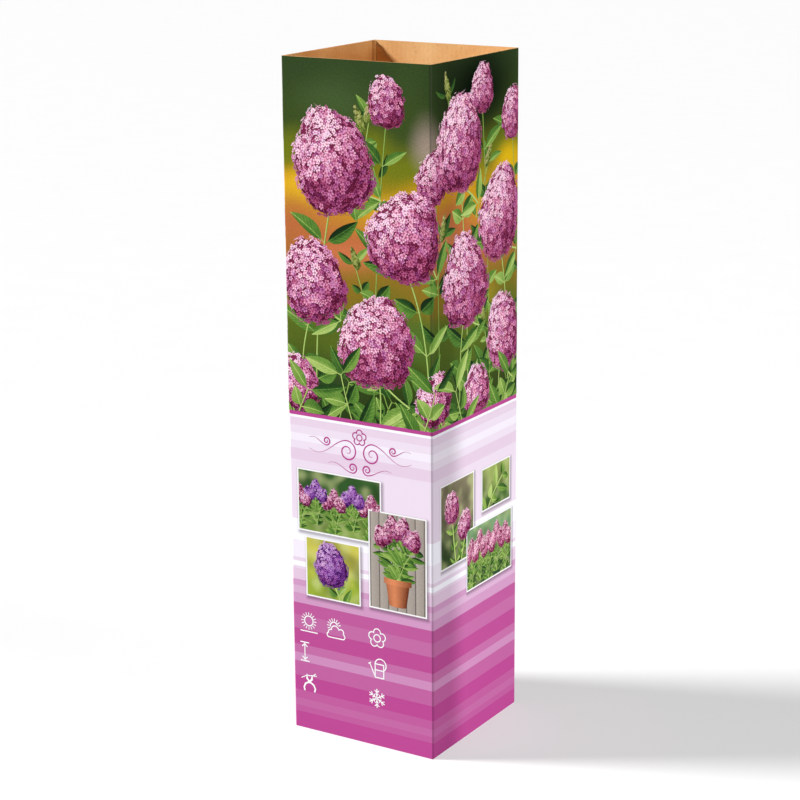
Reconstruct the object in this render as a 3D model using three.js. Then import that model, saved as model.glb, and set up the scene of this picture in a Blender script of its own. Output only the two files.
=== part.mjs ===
// A tall square carton of thin corrugated board, open at the top, that carries one potted shrub.
// Four walls are folded round from one sheet and closed by a flap glued inside the back wall.
// Underneath, a panel hinged on the back wall tucks up inside the front wall, below two dust
// flaps hinged on the side walls.
//
// Millimetres, +Z up. The origin is the middle of the underside. The front wall faces -Y and
// the right wall faces +X.
import * as THREE from "three";

// The tube
const WIDTH = 100; // outside, along X
const DEPTH = 100; // outside, along Y
const HEIGHT = 410; // from the underside to the cut rim
const BOARD = 1.5; // thickness of the board, over both liners
const GAP = 0.3; // left between two panels where the board is creased
const SEAM_WIDTH = 12; // of the glue flap, from its crease to its free edge
const SEAM_SLANT = 14; // how much shorter the glue flap's free edge is, at each end
const SEAM_FOOT = 4; // bottom of the glue flap, clear of the closure's crease

// The closure underneath
const PANEL_PLAY = 0.5; // between the closure panel and each side wall
const TUCK_PLAY = 1.5; // between the tuck tab and the front wall, which the tab's tip swings into
const TUCK_HEIGHT = 14; // top of the tab, above the underside
const TUCK_INSET = 5; // by which the tab is narrower than its panel, at each side
const TUCK_RADIUS = 7; // of the tab's two free corners
const DUST_LENGTH = 42; // of a dust flap, from its crease to its free edge
const DUST_PLAY = 1.2; // between a dust flap and the tuck tab
const DUST_SETBACK = 3; // from the back wall to a dust flap, at its crease
const DUST_RADIUS = 4; // of a dust flap's free corners

const CURVE_SEGMENTS = 6; // straight steps in each rounded corner

// The space inside the walls, from the middle to each inner face
const INNER_X = WIDTH / 2 - BOARD;
const INNER_Y = DEPTH / 2 - BOARD;
const DUST_LEVEL = BOARD + GAP; // underside of the dust flaps, just above the closure panel
const TAB_FACE = -INNER_Y + TUCK_PLAY + BOARD; // Y of the tuck tab's inner face

const PRINTED = { color: 0xc56aa2, roughness: 0.5, metalness: 0 };
const KRAFT = { color: 0xc98d52, roughness: 0.9, metalness: 0 };

const carton = new THREE.Group();

// Extrudes an outline and adds it to the carton as one named piece of board.
function addBoard(name, shape, thickness, finish) {
  const geometry = new THREE.ExtrudeGeometry(shape, {
    depth: thickness,
    bevelEnabled: false,
    curveSegments: CURVE_SEGMENTS,
  });
  const mesh = new THREE.Mesh(geometry, new THREE.MeshStandardMaterial(finish));
  mesh.name = name;
  carton.add(mesh);
  return mesh;
}

// The plan of a wall that runs along +X from its first crease, with its inner face on y = 0 and
// its outer face on y = BOARD. Each end is "mitred" where the next wall takes up the other half
// of the rounded corner, "turned" where the wall makes the whole corner, or "cut" square, one
// board thickness past the crease.
function wallPlan(length, start, end) {
  const mitreInset = GAP / Math.SQRT2;
  const mitreAngle = Math.PI / 4 + Math.asin(GAP / 2 / BOARD);
  const reach = { mitred: -mitreInset, turned: 0, cut: BOARD };
  const lastAngle = { mitred: mitreAngle, turned: 0 };
  const plan = new THREE.Shape();
  plan.moveTo(-reach[start], 0);
  plan.lineTo(length + reach[end], 0);
  if (end === "cut") plan.lineTo(length + BOARD, BOARD);
  else plan.absarc(length, 0, BOARD, lastAngle[end], Math.PI / 2);
  if (start === "cut") plan.lineTo(-BOARD, BOARD);
  else plan.absarc(0, 0, BOARD, Math.PI / 2, Math.PI - lastAngle[start]);
  return plan;
}

// A closed outline through anticlockwise corners [x, y, radius], each rounded to its radius.
function roundedOutline(corners) {
  const place = (i) => new THREE.Vector2(...corners.at(i % corners.length));
  const shape = new THREE.Shape();
  corners.forEach(([x, y, radius = 0], i) => {
    const corner = new THREE.Vector2(x, y);
    const back = place(i - 1).sub(corner).normalize();
    const ahead = place(i + 1).sub(corner).normalize();
    const halfAngle = Math.acos(back.dot(ahead)) / 2;
    const tangent = radius / Math.tan(halfAngle);
    const first = back.clone().multiplyScalar(tangent).add(corner);
    if (i === 0) shape.moveTo(first.x, first.y);
    else shape.lineTo(first.x, first.y);
    if (radius > 0) {
      const middle = back.clone().add(ahead).setLength(radius / Math.sin(halfAngle)).add(corner);
      const last = ahead.clone().multiplyScalar(tangent).add(corner);
      const startAngle = first.sub(middle).angle();
      shape.absarc(middle.x, middle.y, radius, startAngle, last.sub(middle).angle());
    }
  });
  shape.closePath();
  return shape;
}

// The four walls, in the order that the sheet is folded. Each starts at a crease's inner corner.
function addWalls() {
  const seamY = INNER_Y - BOARD; // the glue flap lies inside the back wall
  const walls = [
    ["wall_left", -INNER_X, -INNER_Y, Math.PI / 2, INNER_Y + seamY, "mitred", "turned"],
    ["wall_back", -INNER_X, INNER_Y, 0, 2 * INNER_X, "cut", "mitred"],
    ["wall_right", INNER_X, INNER_Y, -Math.PI / 2, 2 * INNER_Y, "mitred", "mitred"],
    ["wall_front", INNER_X, -INNER_Y, Math.PI, 2 * INNER_X, "mitred", "mitred"],
  ];
  for (const [name, x, y, turn, length, start, end] of walls) {
    const wall = addBoard(name, wallPlan(length, start, end), HEIGHT, PRINTED);
    wall.position.set(x, y, 0);
    wall.rotation.z = turn;
  }
}

// The glue flap, drawn as X and Z and laid flat against the back wall's inner face. Its ends
// slant in, so that it can't foul a crease when the carton is folded flat.
function addGlueFlap() {
  const crease = -INNER_X + GAP;
  const free = -INNER_X + SEAM_WIDTH;
  const flap = roundedOutline([
    [crease, SEAM_FOOT],
    [free, SEAM_FOOT + SEAM_SLANT],
    [free, HEIGHT - SEAM_SLANT],
    [crease, HEIGHT],
  ]);
  const mesh = addBoard("glue_flap", flap, BOARD, KRAFT);
  mesh.rotation.x = Math.PI / 2; // the thickness runs towards -Y
  mesh.position.y = INNER_Y;
}

// The closure panel, hinged on the back wall, and the tuck tab that stands on its front edge.
function addClosure() {
  const side = INNER_X - PANEL_PLAY;
  const panel = roundedOutline([
    [-side, -INNER_Y + TUCK_PLAY],
    [side, -INNER_Y + TUCK_PLAY],
    [side, INNER_Y - GAP],
    [-side, INNER_Y - GAP],
  ]);
  addBoard("closure_panel", panel, BOARD, PRINTED);

  const tabSide = side - TUCK_INSET;
  const tab = roundedOutline([
    [-tabSide, BOARD + GAP],
    [tabSide, BOARD + GAP],
    [tabSide, TUCK_HEIGHT, TUCK_RADIUS],
    [-tabSide, TUCK_HEIGHT, TUCK_RADIUS],
  ]);
  const mesh = addBoard("tuck_tab", tab, BOARD, KRAFT);
  mesh.rotation.x = Math.PI / 2;
  mesh.position.y = TAB_FACE;
}

// The two dust flaps. The edge towards the back wall runs in at 45 degrees, so a flap stays
// clear of the closure panel while all three swing down together.
function addDustFlaps() {
  const crease = INNER_X - GAP;
  const free = crease - DUST_LENGTH;
  const front = TAB_FACE + DUST_PLAY;
  const back = INNER_Y - DUST_SETBACK;
  const right = [
    [free, front, DUST_RADIUS],
    [crease, front],
    [crease, back],
    [free, back - DUST_LENGTH, DUST_RADIUS],
  ];
  const left = right.map(([x, y, radius]) => [-x, y, radius]).reverse();
  for (const [name, corners] of [["dust_flap_right", right], ["dust_flap_left", left]]) {
    addBoard(name, roundedOutline(corners), BOARD, KRAFT).position.z = DUST_LEVEL;
  }
}

addWalls();
addGlueFlap();
addClosure();
addDustFlaps();

export default carton;
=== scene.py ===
# %% [markdown]
# # A printed cardboard plant carton
# A tall square carton of thin corrugated board carries one potted shrub to the garden. Board
# like this is three sheets of paper: a white-faced liner that takes the print, a fluted sheet,
# and a plain brown liner on the inside. This lesson builds those sheets one by one around a
# finished construction model, prints the outside, and folds the print round the corners.
#
# Lengths in this script are millimetres on the flat sheet. `MM` turns them into metres.

# %% The frame: the construction model that every piece is placed by
import math

import bmesh
import bpy
import numpy as np
from mathutils import Matrix, Vector


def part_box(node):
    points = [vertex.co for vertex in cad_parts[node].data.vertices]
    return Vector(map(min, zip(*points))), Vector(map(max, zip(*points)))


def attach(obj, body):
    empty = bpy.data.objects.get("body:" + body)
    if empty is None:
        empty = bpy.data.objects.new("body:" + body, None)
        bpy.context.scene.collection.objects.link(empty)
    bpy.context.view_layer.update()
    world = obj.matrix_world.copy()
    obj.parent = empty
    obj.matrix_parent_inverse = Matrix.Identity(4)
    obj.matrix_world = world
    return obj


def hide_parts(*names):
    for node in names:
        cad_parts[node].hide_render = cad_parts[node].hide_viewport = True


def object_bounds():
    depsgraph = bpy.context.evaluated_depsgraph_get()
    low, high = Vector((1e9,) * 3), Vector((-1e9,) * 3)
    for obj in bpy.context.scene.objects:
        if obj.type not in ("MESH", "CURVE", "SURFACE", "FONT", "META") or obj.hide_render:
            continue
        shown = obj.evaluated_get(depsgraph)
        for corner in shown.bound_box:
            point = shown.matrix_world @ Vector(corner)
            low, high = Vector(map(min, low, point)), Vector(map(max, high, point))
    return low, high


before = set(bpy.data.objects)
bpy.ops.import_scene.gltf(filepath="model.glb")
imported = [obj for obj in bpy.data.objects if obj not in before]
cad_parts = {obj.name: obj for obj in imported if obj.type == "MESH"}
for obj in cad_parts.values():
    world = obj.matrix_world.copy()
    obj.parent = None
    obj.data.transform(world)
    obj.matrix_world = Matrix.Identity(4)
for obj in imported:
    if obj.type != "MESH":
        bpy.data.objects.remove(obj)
cad_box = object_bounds()
MM = 0.001


def node_box(node):
    """The lowest and highest corner of a construction node, in millimetres."""
    low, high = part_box(node)
    return np.array(low) / MM, np.array(high) / MM


low, high = np.array(cad_box[0]) / MM, np.array(cad_box[1]) / MM
HEIGHT = high[2]

# %% [markdown]
# ## The board and its folds
# One sheet is creased and folded round, so every place on the carton has an address on the flat
# sheet: how far round it lies, how high, and how deep in the board. The folded shape could be
# drawn piece by piece, but then the liners, the flutes and the print would each need their own
# corner arithmetic. A path of stations does it once: each holds a distance along the sheet, a
# point on the inner face and the direction that leads outwards.

# %% The layers of the board
closure_low, closure_high = node_box("closure_panel")
BOARD = closure_high[2] - closure_low[2]
PRINT_ROOM = 0.25  # between the liner's face and the carton's box, for the layers of print
LINER = 0.25  # thickness of each liner
FLUTED_PAPER = 0.16
FLUTE_PITCH = 3.2
FLUTE_STEP = FLUTE_PITCH / 8  # between the columns of points that carry the flutes
FOLD = BOARD - PRINT_ROOM  # radius of a fold, at the printed face
FOLD_STEPS = 6  # flat facets in a folded corner
FLUTE_HEIGHT = FOLD - 2 * LINER - FLUTED_PAPER
print(f"board {BOARD:.2f} mm, flutes {FLUTE_HEIGHT + FLUTED_PAPER:.2f} mm deep")


# %% Stations along a folded sheet
def folded_path(corners, headings):
    """Stations round a folded sheet, from its corners, which are points of the inner face, and
    the outward heading in degrees of each stretch between them."""
    places = [(0.0, corners[0], headings[0])]
    for corner, heading, after in zip(corners[1:], headings, headings[1:] + [None]):
        places.append((places[-1][0] + math.dist(corner, places[-1][1]), corner, heading))
        turns = range(1, FOLD_STEPS + 1) if after is not None else ()
        for i in turns:
            turn = (after - heading) / FOLD_STEPS
            gone = FOLD * math.radians(abs(turn))
            places.append((places[-1][0] + gone, corner, heading + turn * i))
    angles = np.radians([heading for _, _, heading in places])
    out = np.stack([np.cos(angles), np.sin(angles)], 1)
    return np.array([p[0] for p in places]), np.array([p[1] for p in places], float), out


def on_path(path, along, depth):
    """Points in the path's plane, for distances along it and depths into the board."""
    stations, base, out = path
    place = [
        np.interp(along, stations, base[:, k]) + depth * np.interp(along, stations, out[:, k])
        for k in (0, 1)
    ]
    return np.stack(place, -1)


# %% The tube: glue flap, left, front, right and back wall, in the order of the sheet
flap_low, flap_high = node_box("glue_flap")
INNER = high[0] - BOARD  # from the middle to an inner face
SEAM = flap_low[1]  # the glue flap's inner face, one board inside the back wall
tube_corners = [
    (flap_high[0], SEAM), (-INNER, SEAM), (-INNER, -INNER), (INNER, -INNER),
    (INNER, INNER), (low[0], INNER),
]
tube_path = folded_path(tube_corners, [90, 180, 270, 360, 450])
fold_middles = [tube_path[0][i * (FOLD_STEPS + 1) + 1 + FOLD_STEPS // 2] for i in range(4)]
tube_path = (tube_path[0] - fold_middles[1], *tube_path[1:])  # zero is the front left fold
SEAM_FOLD, LEFT_FOLD, CORNER_FOLD, RIGHT_FOLD = [m - fold_middles[1] for m in fold_middles]
FLAP_EDGE, BACK_EDGE = tube_path[0][[0, -1]]
FACE = CORNER_FOLD - LEFT_FOLD  # width of one printed face
HALF_FOLD = FOLD * math.pi / 4
print(f"sheet from {FLAP_EDGE:.1f} to {BACK_EDGE:.1f} mm, one face {FACE:.2f} mm")


def on_tube(along, height, depth):
    """Points of the carton's walls, in millimetres."""
    plan = on_path(tube_path, along, depth)
    return np.concatenate([plan, np.asarray(height, float)[..., None]], -1)


def tucked_under(travel, depth):
    """Height and depth where a wall folds in at its lower end. Below zero, travel is the
    distance round that fold."""
    turn = np.clip(-travel / FOLD, 0, math.pi / 2)
    return FOLD + np.maximum(travel, 0) - depth * np.sin(turn), depth * np.cos(turn)


# %% [markdown]
# ## Nodes as expressions
# A material's pattern is arithmetic on coordinates. Written as one node after another it is
# hard to read, so a small class wraps a socket and turns `+ - * /` into Math nodes, also with
# the number on the left. Every other node comes from one method, `add`.

# %% A wrapper for sockets, and one method that adds any node
class Wire:
    """An output socket that can be used in an expression."""

    def __init__(self, graph, socket):
        self.graph, self.socket = graph, socket

    def of(self, name):
        return Wire(self.graph, self.socket.node.outputs[name])

    def math(self, operation, *others):
        return self.graph.math(operation, self, *others)

    def __add__(self, other):
        return self.math("ADD", other)

    def __sub__(self, other):
        return self.math("SUBTRACT", other)

    def __rsub__(self, other):
        return self.graph.math("SUBTRACT", other, self)

    def __mul__(self, other):
        return self.math("MULTIPLY", other)

    def __truediv__(self, other):
        return self.math("DIVIDE", other)

    def __rtruediv__(self, other):
        return self.graph.math("DIVIDE", other, self)

    __radd__ = __add__
    __rmul__ = __mul__


class Graph:
    """A node tree that is written as expressions."""

    def __init__(self, tree):
        self.tree = tree

    def add(self, kind, settings=None, inputs=None, output=0):
        """Adds a node: first its settings, then the values or links of its sockets."""
        node = self.tree.nodes.new(kind)
        for name, value in (settings or {}).items():
            if name == "stops":
                self.set_stops(node.color_ramp, value)
            else:
                setattr(node, name, value)
        for name, value in (inputs or {}).items():
            if isinstance(value, Wire):
                self.tree.links.new(value.socket, node.inputs[name])
            else:
                node.inputs[name].default_value = value
        return Wire(self, node.outputs[output]) if len(node.outputs) else node

    @staticmethod
    def set_stops(ramp, stops):
        while len(ramp.elements) < len(stops):
            ramp.elements.new(1.0)
        for element, (place, colour) in zip(ramp.elements, stops):
            element.position = place
            element.color = colour

    def math(self, operation, *values):
        return self.add("ShaderNodeMath", {"operation": operation}, dict(enumerate(values)))

    def scaled(self, vector, factor):
        inputs = {0: vector, "Scale": factor}
        return self.add("ShaderNodeVectorMath", {"operation": "SCALE"}, inputs)

    def vector(self, x=0.0, y=0.0, z=0.0):
        return self.add("ShaderNodeCombineXYZ", None, {0: x, 1: y, 2: z})

    def apart(self, vector):
        """The X, Y and Z of a vector."""
        parts = self.add("ShaderNodeSeparateXYZ", None, {0: vector})
        return [parts.of(axis) for axis in "XYZ"]

    def smooth(self, value, start, end):
        """0 below start, 1 above end, and a smooth step between them."""
        settings = {"interpolation_type": "SMOOTHSTEP"}
        places = {"Value": value, "From Min": start, "From Max": end}
        return self.add("ShaderNodeMapRange", settings, places)

    def blend(self, share, first, second, how="MIX"):
        """Mixes two colours."""
        settings = {"data_type": "RGBA", "blend_type": how}
        return self.add("ShaderNodeMix", settings, {0: share, 6: first, 7: second}, output=2)

    def ramp(self, value, stops, how="LINEAR"):
        wire = self.add("ShaderNodeValToRGB", {"stops": stops}, {0: value})
        wire.socket.node.color_ramp.interpolation = how
        return wire


def ink(red, green, blue):
    """A colour given as 0 to 255 on a screen, for a socket."""
    levels = [c / 255 for c in (red, green, blue)]
    linear = [c / 12.92 if c <= 0.04045 else ((c + 0.055) / 1.055) ** 2.4 for c in levels]
    return (*linear, 1.0)


# %% A material whose surface is one Principled BSDF
class Finish(Graph):
    """A material that is written as expressions and ends in one Principled shader."""

    def __init__(self, name, roughness, sheen=0.5):
        self.material = bpy.data.materials.new(name)
        self.material.use_nodes = True
        super().__init__(self.material.node_tree)
        self.shader = self.tree.nodes["Principled BSDF"]
        self.shader.inputs["Roughness"].default_value = roughness
        self.shader.inputs["Specular IOR Level"].default_value = sheen

    def place(self):
        """The point on the surface, in millimetres of the carton's own frame."""
        return self.scaled(self.add("ShaderNodeTexCoord", output=3), 1 / MM)

    def on_map(self, name):
        """Both coordinates of one of the piece's own maps, in millimetres."""
        across, up, _ = self.apart(self.add("ShaderNodeUVMap", {"uv_map": name}))
        return across * (1 / MM), up * (1 / MM)

    def value_of(self, attribute):
        return self.add("ShaderNodeAttribute", {"attribute_name": attribute}).of("Fac")

    def noise(self, where, scale, detail=2.0, roughness=0.5):
        """Noise about 0.5, with `scale` in features per millimetre."""
        settings = {"Vector": where, "Scale": scale, "Detail": detail, "Roughness": roughness}
        return self.add("ShaderNodeTexNoise", None, settings)

    def stretched(self, where, across, along, up):
        """The point with each axis scaled, for a grain that runs one way."""
        factors = {0: where, 1: (across, along, up)}
        return self.add("ShaderNodeVectorMath", {"operation": "MULTIPLY"}, factors)

    def wear(self, colour, relief=None, height=0.02, roughness=None):
        """Links the finished colour, and the relief in millimetres as a bump."""
        self.tree.links.new(colour.socket, self.shader.inputs["Base Color"])
        if roughness is not None:
            self.tree.links.new(roughness.socket, self.shader.inputs["Roughness"])
        if relief is not None:
            bump = self.add("ShaderNodeBump", None, {"Height": relief, "Distance": height * MM})
            self.tree.links.new(bump.socket, self.shader.inputs["Normal"])
        return self.material


# %% [markdown]
# ## Brown kraft paper
# The inside liner and the fluted sheet are unbleached kraft: a warm brown with long fibres, a few
# darker flecks and a faint ghost of the flutes behind it, because the wet glue pulls the liner
# down on each crest. One flat brown would look like plastic. Noise that is stretched along the
# sheet gives the fibres, and a sine along the board's own map gives the flutes.

# %% Kraft paper
KRAFT_LIGHT, KRAFT_DARK = (255, 214, 152), (228, 168, 102)
FLUTED_LIGHT, FLUTED_DARK = (242, 200, 144), (212, 162, 106)
# the fleck colour, then the colour of the painted shade along each crease
FLECK, CREASE_SHADE_COLOUR = ink(118, 74, 36), ink(112, 58, 24)
CLOUDS, FIBRES, FLECKS = 0.045, 1.9, 1.1  # features in a millimetre
GHOST = 0.02  # how clearly the flutes show through a liner
CREASE_LINE = 0.45  # half the width of the dark line of painted shade on each side of a crease


def flute_wave(across):
    """From -1 to 1 and back over each flute of the board."""
    return (across * (math.tau / FLUTE_PITCH)).math("SINE")


def kraft_paper(name, light=KRAFT_LIGHT, dark=KRAFT_DARK, ghost=GHOST, creases=()):
    """Brown paper. `ghost` is how clearly the flutes show through it, and `creases` holds the
    distances along the sheet where dark lines of painted shade run."""
    finish = Finish(name, roughness=0.88, sheen=0.3)
    where = finish.place()
    clouds = finish.noise(where, CLOUDS, detail=3)
    fibres = finish.noise(finish.stretched(where, 1.0, 1.0, 0.4), FIBRES, detail=5, roughness=0.7)
    flecks = finish.noise(finish.stretched(where, 1.0, 1.0, 0.5), FLECKS, detail=1)
    shade = clouds * 0.7 + fibres * 0.75 - 0.22
    relief = fibres * 0.6
    if ghost:
        across, _ = finish.on_map("Sheet")
        flutes = flute_wave(across) * ghost
        shade, relief = shade + flutes, relief + flutes * 10
    paper = finish.ramp(shade, [(0.25, ink(*dark)), (0.75, ink(*light))])
    marks = finish.smooth(flecks, 0.69, 0.76) * 0.3
    colour = finish.blend(marks, paper, FLECK)
    # painted shade: a dark line down each side of the bead at a crease
    if creases:
        crease_shade = 0.0
        for crease in creases:
            line = finish.smooth((across - crease).math("ABSOLUTE"), CREASE_LINE, 0.0)
            crease_shade = line.math("MAXIMUM", crease_shade)
        colour = finish.blend(crease_shade * 0.7, colour, CREASE_SHADE_COLOUR)
    return finish.wear(colour, relief, height=0.05)


KRAFT = kraft_paper("kraft paper")
FLUTED_KRAFT = kraft_paper("kraft paper, fluted", FLUTED_LIGHT, FLUTED_DARK, ghost=0.0)

# %% [markdown]
# ## The sheets of the board
# Each liner is a thin closed solid that follows a folded path. It could be a plane with a
# Solidify modifier, but the rows at a fold must lie exactly on the path's facets, so that the
# print can lie on them too. So the solid is a grid of columns and rows, placed once at each
# face of the paper and closed round its edges.

# %% Building a mesh from points, faces and maps
def new_mesh(name, materials):
    mesh = bpy.data.meshes.new(name)
    for material in materials:
        mesh.materials.append(material)
    return mesh


def mesh_object(name, points, faces, materials, slots=None, maps=None):
    """A new object from points in millimetres. Maps hold one place for each face corner."""
    mesh = new_mesh(name, materials)
    mesh.from_pydata(np.asarray(points) * MM, [], np.asarray(faces).tolist())
    if slots is not None:
        mesh.polygons.foreach_set("material_index", np.asarray(slots, np.int32))
    for map_name, places in (maps or {}).items():
        layer = mesh.uv_layers.new(name=map_name)
        layer.uv.foreach_set("vector", np.asarray(places, np.float32).ravel())
    return show(name, mesh)


def show(name, mesh):
    piece = bpy.data.objects.new(name, mesh)
    bpy.context.scene.collection.objects.link(piece)
    return piece


# %% A sheet of paper as a closed solid
def grid(columns, rows):
    """The distances across and along the sheet, at each crossing of a column and a row."""
    return np.broadcast_arrays(np.asarray(columns, float)[:, None], np.asarray(rows, float))


def grid_faces(columns, rows, first=0):
    """Quads between columns and rows of points, which are numbered column by column."""
    i, j = np.meshgrid(np.arange(columns - 1), np.arange(rows - 1), indexing="ij")
    at = first + (i * rows + j).ravel()
    return np.stack([at, at + rows, at + rows + 1, at + 1], 1)


def plain_maps(address, kind):
    return {"Sheet": address * MM}


def paper_solid(name, columns, rows, place, depths, materials, maps=plain_maps):
    """A sheet between two depths. `rows` holds the distances along the sheet, for all columns
    or for each, and `place` turns columns, rows and depths into points. The outward face wears
    the first material, and the back and the cut edges wear the last."""
    across, along = grid(columns, rows)
    m, n = along.shape
    sides = [place(across, along, np.full((m, n), depth)).reshape(-1, 3) for depth in depths]
    back, front = grid_faces(m, n)[:, ::-1], grid_faces(m, n, m * n)
    ring = np.concatenate([
        np.arange(m) * n, (m - 1) * n + np.arange(1, n), np.arange(m - 2, -1, -1) * n + n - 1,
        np.arange(n - 2, 0, -1),
    ])
    after = np.roll(ring, -1)
    edges = np.stack([ring, after, after + m * n, ring + m * n], 1)
    faces = np.concatenate([front, back, edges])
    address = np.tile(np.stack([across.ravel(), along.ravel()], 1), (2, 1))[faces.ravel()]
    kind = np.repeat([0, 1, 2], [len(front), len(back), len(edges)])  # front, back or edge
    slots = (kind > 0) * (len(materials) - 1)
    made = maps(address, np.repeat(kind, 4))
    return mesh_object(name, np.concatenate(sides), faces, materials, slots, made)


def joined(name, pieces):
    """One object from several, with their maps and materials kept."""
    whole = bmesh.new()
    for piece in pieces:
        whole.from_mesh(piece.data)
    mesh = new_mesh(name, pieces[0].data.materials)
    whole.to_mesh(mesh)
    whole.free()
    for piece in pieces:
        bpy.data.objects.remove(piece)
    return show(name, mesh)


# %% [markdown]
# ## The fluted sheet
# Between the liners runs one sheet pressed into waves. It shows only at the cut edges, as a row
# of small arches, and there it says at once what the box is made of. The wave repeats more than
# a hundred times round the carton, so Geometry Nodes make it: a flat sheet comes in, each point
# moves off it by the sine of its distance across the flutes, and the paper then gets its
# thickness.

# %% A geometry tree with named inputs, and how a mesh is made with it
class Shape(Graph):
    """A geometry tree that is written as expressions."""

    def __init__(self, name, inputs):
        super().__init__(bpy.data.node_groups.new(name, "GeometryNodeTree"))
        self.keys = {}
        for title, kind in {"Geometry": "NodeSocketGeometry", **inputs}.items():
            socket = self.tree.interface.new_socket(title, in_out="INPUT", socket_type=kind)
            self.keys[title] = socket.identifier
        socket_type = "NodeSocketGeometry"
        self.tree.interface.new_socket("Geometry", in_out="OUTPUT", socket_type=socket_type)
        self.given = self.add("NodeGroupInput")

    def together(self, *parts):
        """Several geometries as one."""
        whole = self.add("GeometryNodeJoinGeometry")
        for part in parts:
            self.tree.links.new(part.socket, whole.socket.node.inputs[0])
        return whole

    def finish(self, geometry):
        """Ends the tree: real meshes in place of instances, and the material."""
        real = self.add("GeometryNodeRealizeInstances", None, {0: geometry})
        worn = {0: real, "Material": self.given.of("Material")}
        output = self.tree.nodes.new("NodeGroupOutput")
        dressed = self.add("GeometryNodeSetMaterial", None, worn)
        self.tree.links.new(dressed.socket, output.inputs[0])

    def make(self, carrier, **values):
        """The mesh that the tree makes from an object, which it then removes."""
        modifier = carrier.modifiers.new("shape", "NODES")
        modifier.node_group = self.tree
        for title, value in values.items():
            modifier[self.keys[title]] = value
        depsgraph = bpy.context.evaluated_depsgraph_get()
        mesh = bpy.data.meshes.new_from_object(carrier.evaluated_get(depsgraph))
        carrier.modifiers.remove(modifier)
        bpy.data.objects.remove(carrier)
        return mesh


fluting = Shape("fluted sheet", {
    "Pitch": "NodeSocketFloat", "Depth": "NodeSocketFloat", "Paper": "NodeSocketFloat",
    "Material": "NodeSocketMaterial",
})
across = fluting.add("GeometryNodeInputNamedAttribute", None, {"Name": "across"})
normal = fluting.add("GeometryNodeInputNormal")
wave = (across * math.tau / fluting.given.of("Pitch")).math("SINE")
offset = wave * fluting.given.of("Depth") * 0.5 - fluting.given.of("Paper") * 0.5
waved = fluting.add("GeometryNodeSetPosition", None, {
    0: fluting.given.of("Geometry"), "Offset": fluting.scaled(normal, offset),
})
thick = fluting.add("GeometryNodeExtrudeMesh", None, {
    0: waved, "Offset Scale": fluting.given.of("Paper"), "Individual": False,
})
underside = fluting.add("GeometryNodeFlipFaces", None, {0: waved})
fluting.finish(fluting.add("GeometryNodeMergeByDistance", None, {
    0: fluting.together(thick, underside), "Distance": 0.002 * MM,
}))


def fluted_sheet(name, columns, rows, place):
    """The fluted sheet in the middle of the board, under the same columns and rows."""
    across, along = grid(columns, rows)
    middle = place(across, along, np.full(across.shape, FOLD / 2))
    flat = mesh_object(name, middle.reshape(-1, 3), grid_faces(*across.shape), [])
    attribute = flat.data.attributes.new("across", "FLOAT", "POINT")
    attribute.data.foreach_set("value", across.ravel() * MM)
    sheet = fluting.make(
        flat, Pitch=FLUTE_PITCH * MM, Depth=FLUTE_HEIGHT * MM, Paper=FLUTED_PAPER * MM,
        Material=FLUTED_KRAFT,
    )
    return show(name, sheet)


# %% [markdown]
# ## What the outside is printed with
# One sheet of print runs round two faces and then repeats. The upper half is a garden far out
# of focus, which later carries flower heads. The lower half is a plain pattern of stripes, all in
# tints of one magenta ink. On a press a tint is a screen of dots, so it mixes with the white of the
# paper in proportion to the area that the dots cover, and a Mix node on linear colours does
# the same. Everything is worked out from the print's own map: distance across and height.

# %% The stripes, as depths below the rim and tints of the ink
PICTURE = 208.1  # height of the picture, from the rim
STRIPES = [
    (PICTURE, 1.00), (210.35, 0.0), (211.6, 0.35), (216.6, 0.25), (221.5, 0.13), (225.6, 0.24),
    (230.4, 0.38), (237.6, 0.27), (274.7, 0.0), (287.9, 0.14), (298.9, 0.34), (301.85, 0.0),
    (305.0, 0.33), (306.5, 0.44), (313.7, 0.72), (317.2, 0.60), (321.7, 0.73), (328.0, 0.96),
    (336.5, 0.915), (345.3, 0.99), (355.4, 0.91), (360.5, 0.79), (366.2, 0.94), (375.4, 1.0),
    (385.5, 0.955), (390.6, 0.925), (395.3, 0.955), (399.5, 1.0),
]
PAPER_WHITE = ink(243, 242, 250)
MAGENTA = ink(179, 71, 141)
TINT, TINT_SHARE = ink(199, 144, 186), 0.75  # dots spread in the paper, so a tint looks bluer
PAPER_ROUGHNESS = 0.6
PAPER_GRAIN = 2.4  # features in a millimetre
PRINT_SHEEN = 0.01  # a matt ink reflects next to nothing
CORNER_SHADE = 0.33  # painted shade: how much darker the right face is painted beside the front corner
SHADE_FROM, SHADE_TO = 17.0, 40.0  # where that shade starts to fade and where it ends
FOLD_PALE, FOLD_PALE_FROM = 0.04, 1.1  # how far the picture is blended towards pale along a fold, and how far from it
SCUFFED = 5.0  # height of the scuffed strip along the foot


def printed(name):
    """A finish for a surface that carries ink."""
    return Finish(name, PAPER_ROUGHNESS, PRINT_SHEEN)


def striped(finish, down):
    """The share of ink at a depth below the rim."""
    start, reach = STRIPES[0][0], HEIGHT - STRIPES[0][0]
    stops = [((top - start) / reach, (tint, tint, tint, 1)) for top, tint in STRIPES]
    return finish.ramp((down - start) / reach, stops, how="CONSTANT")


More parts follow.
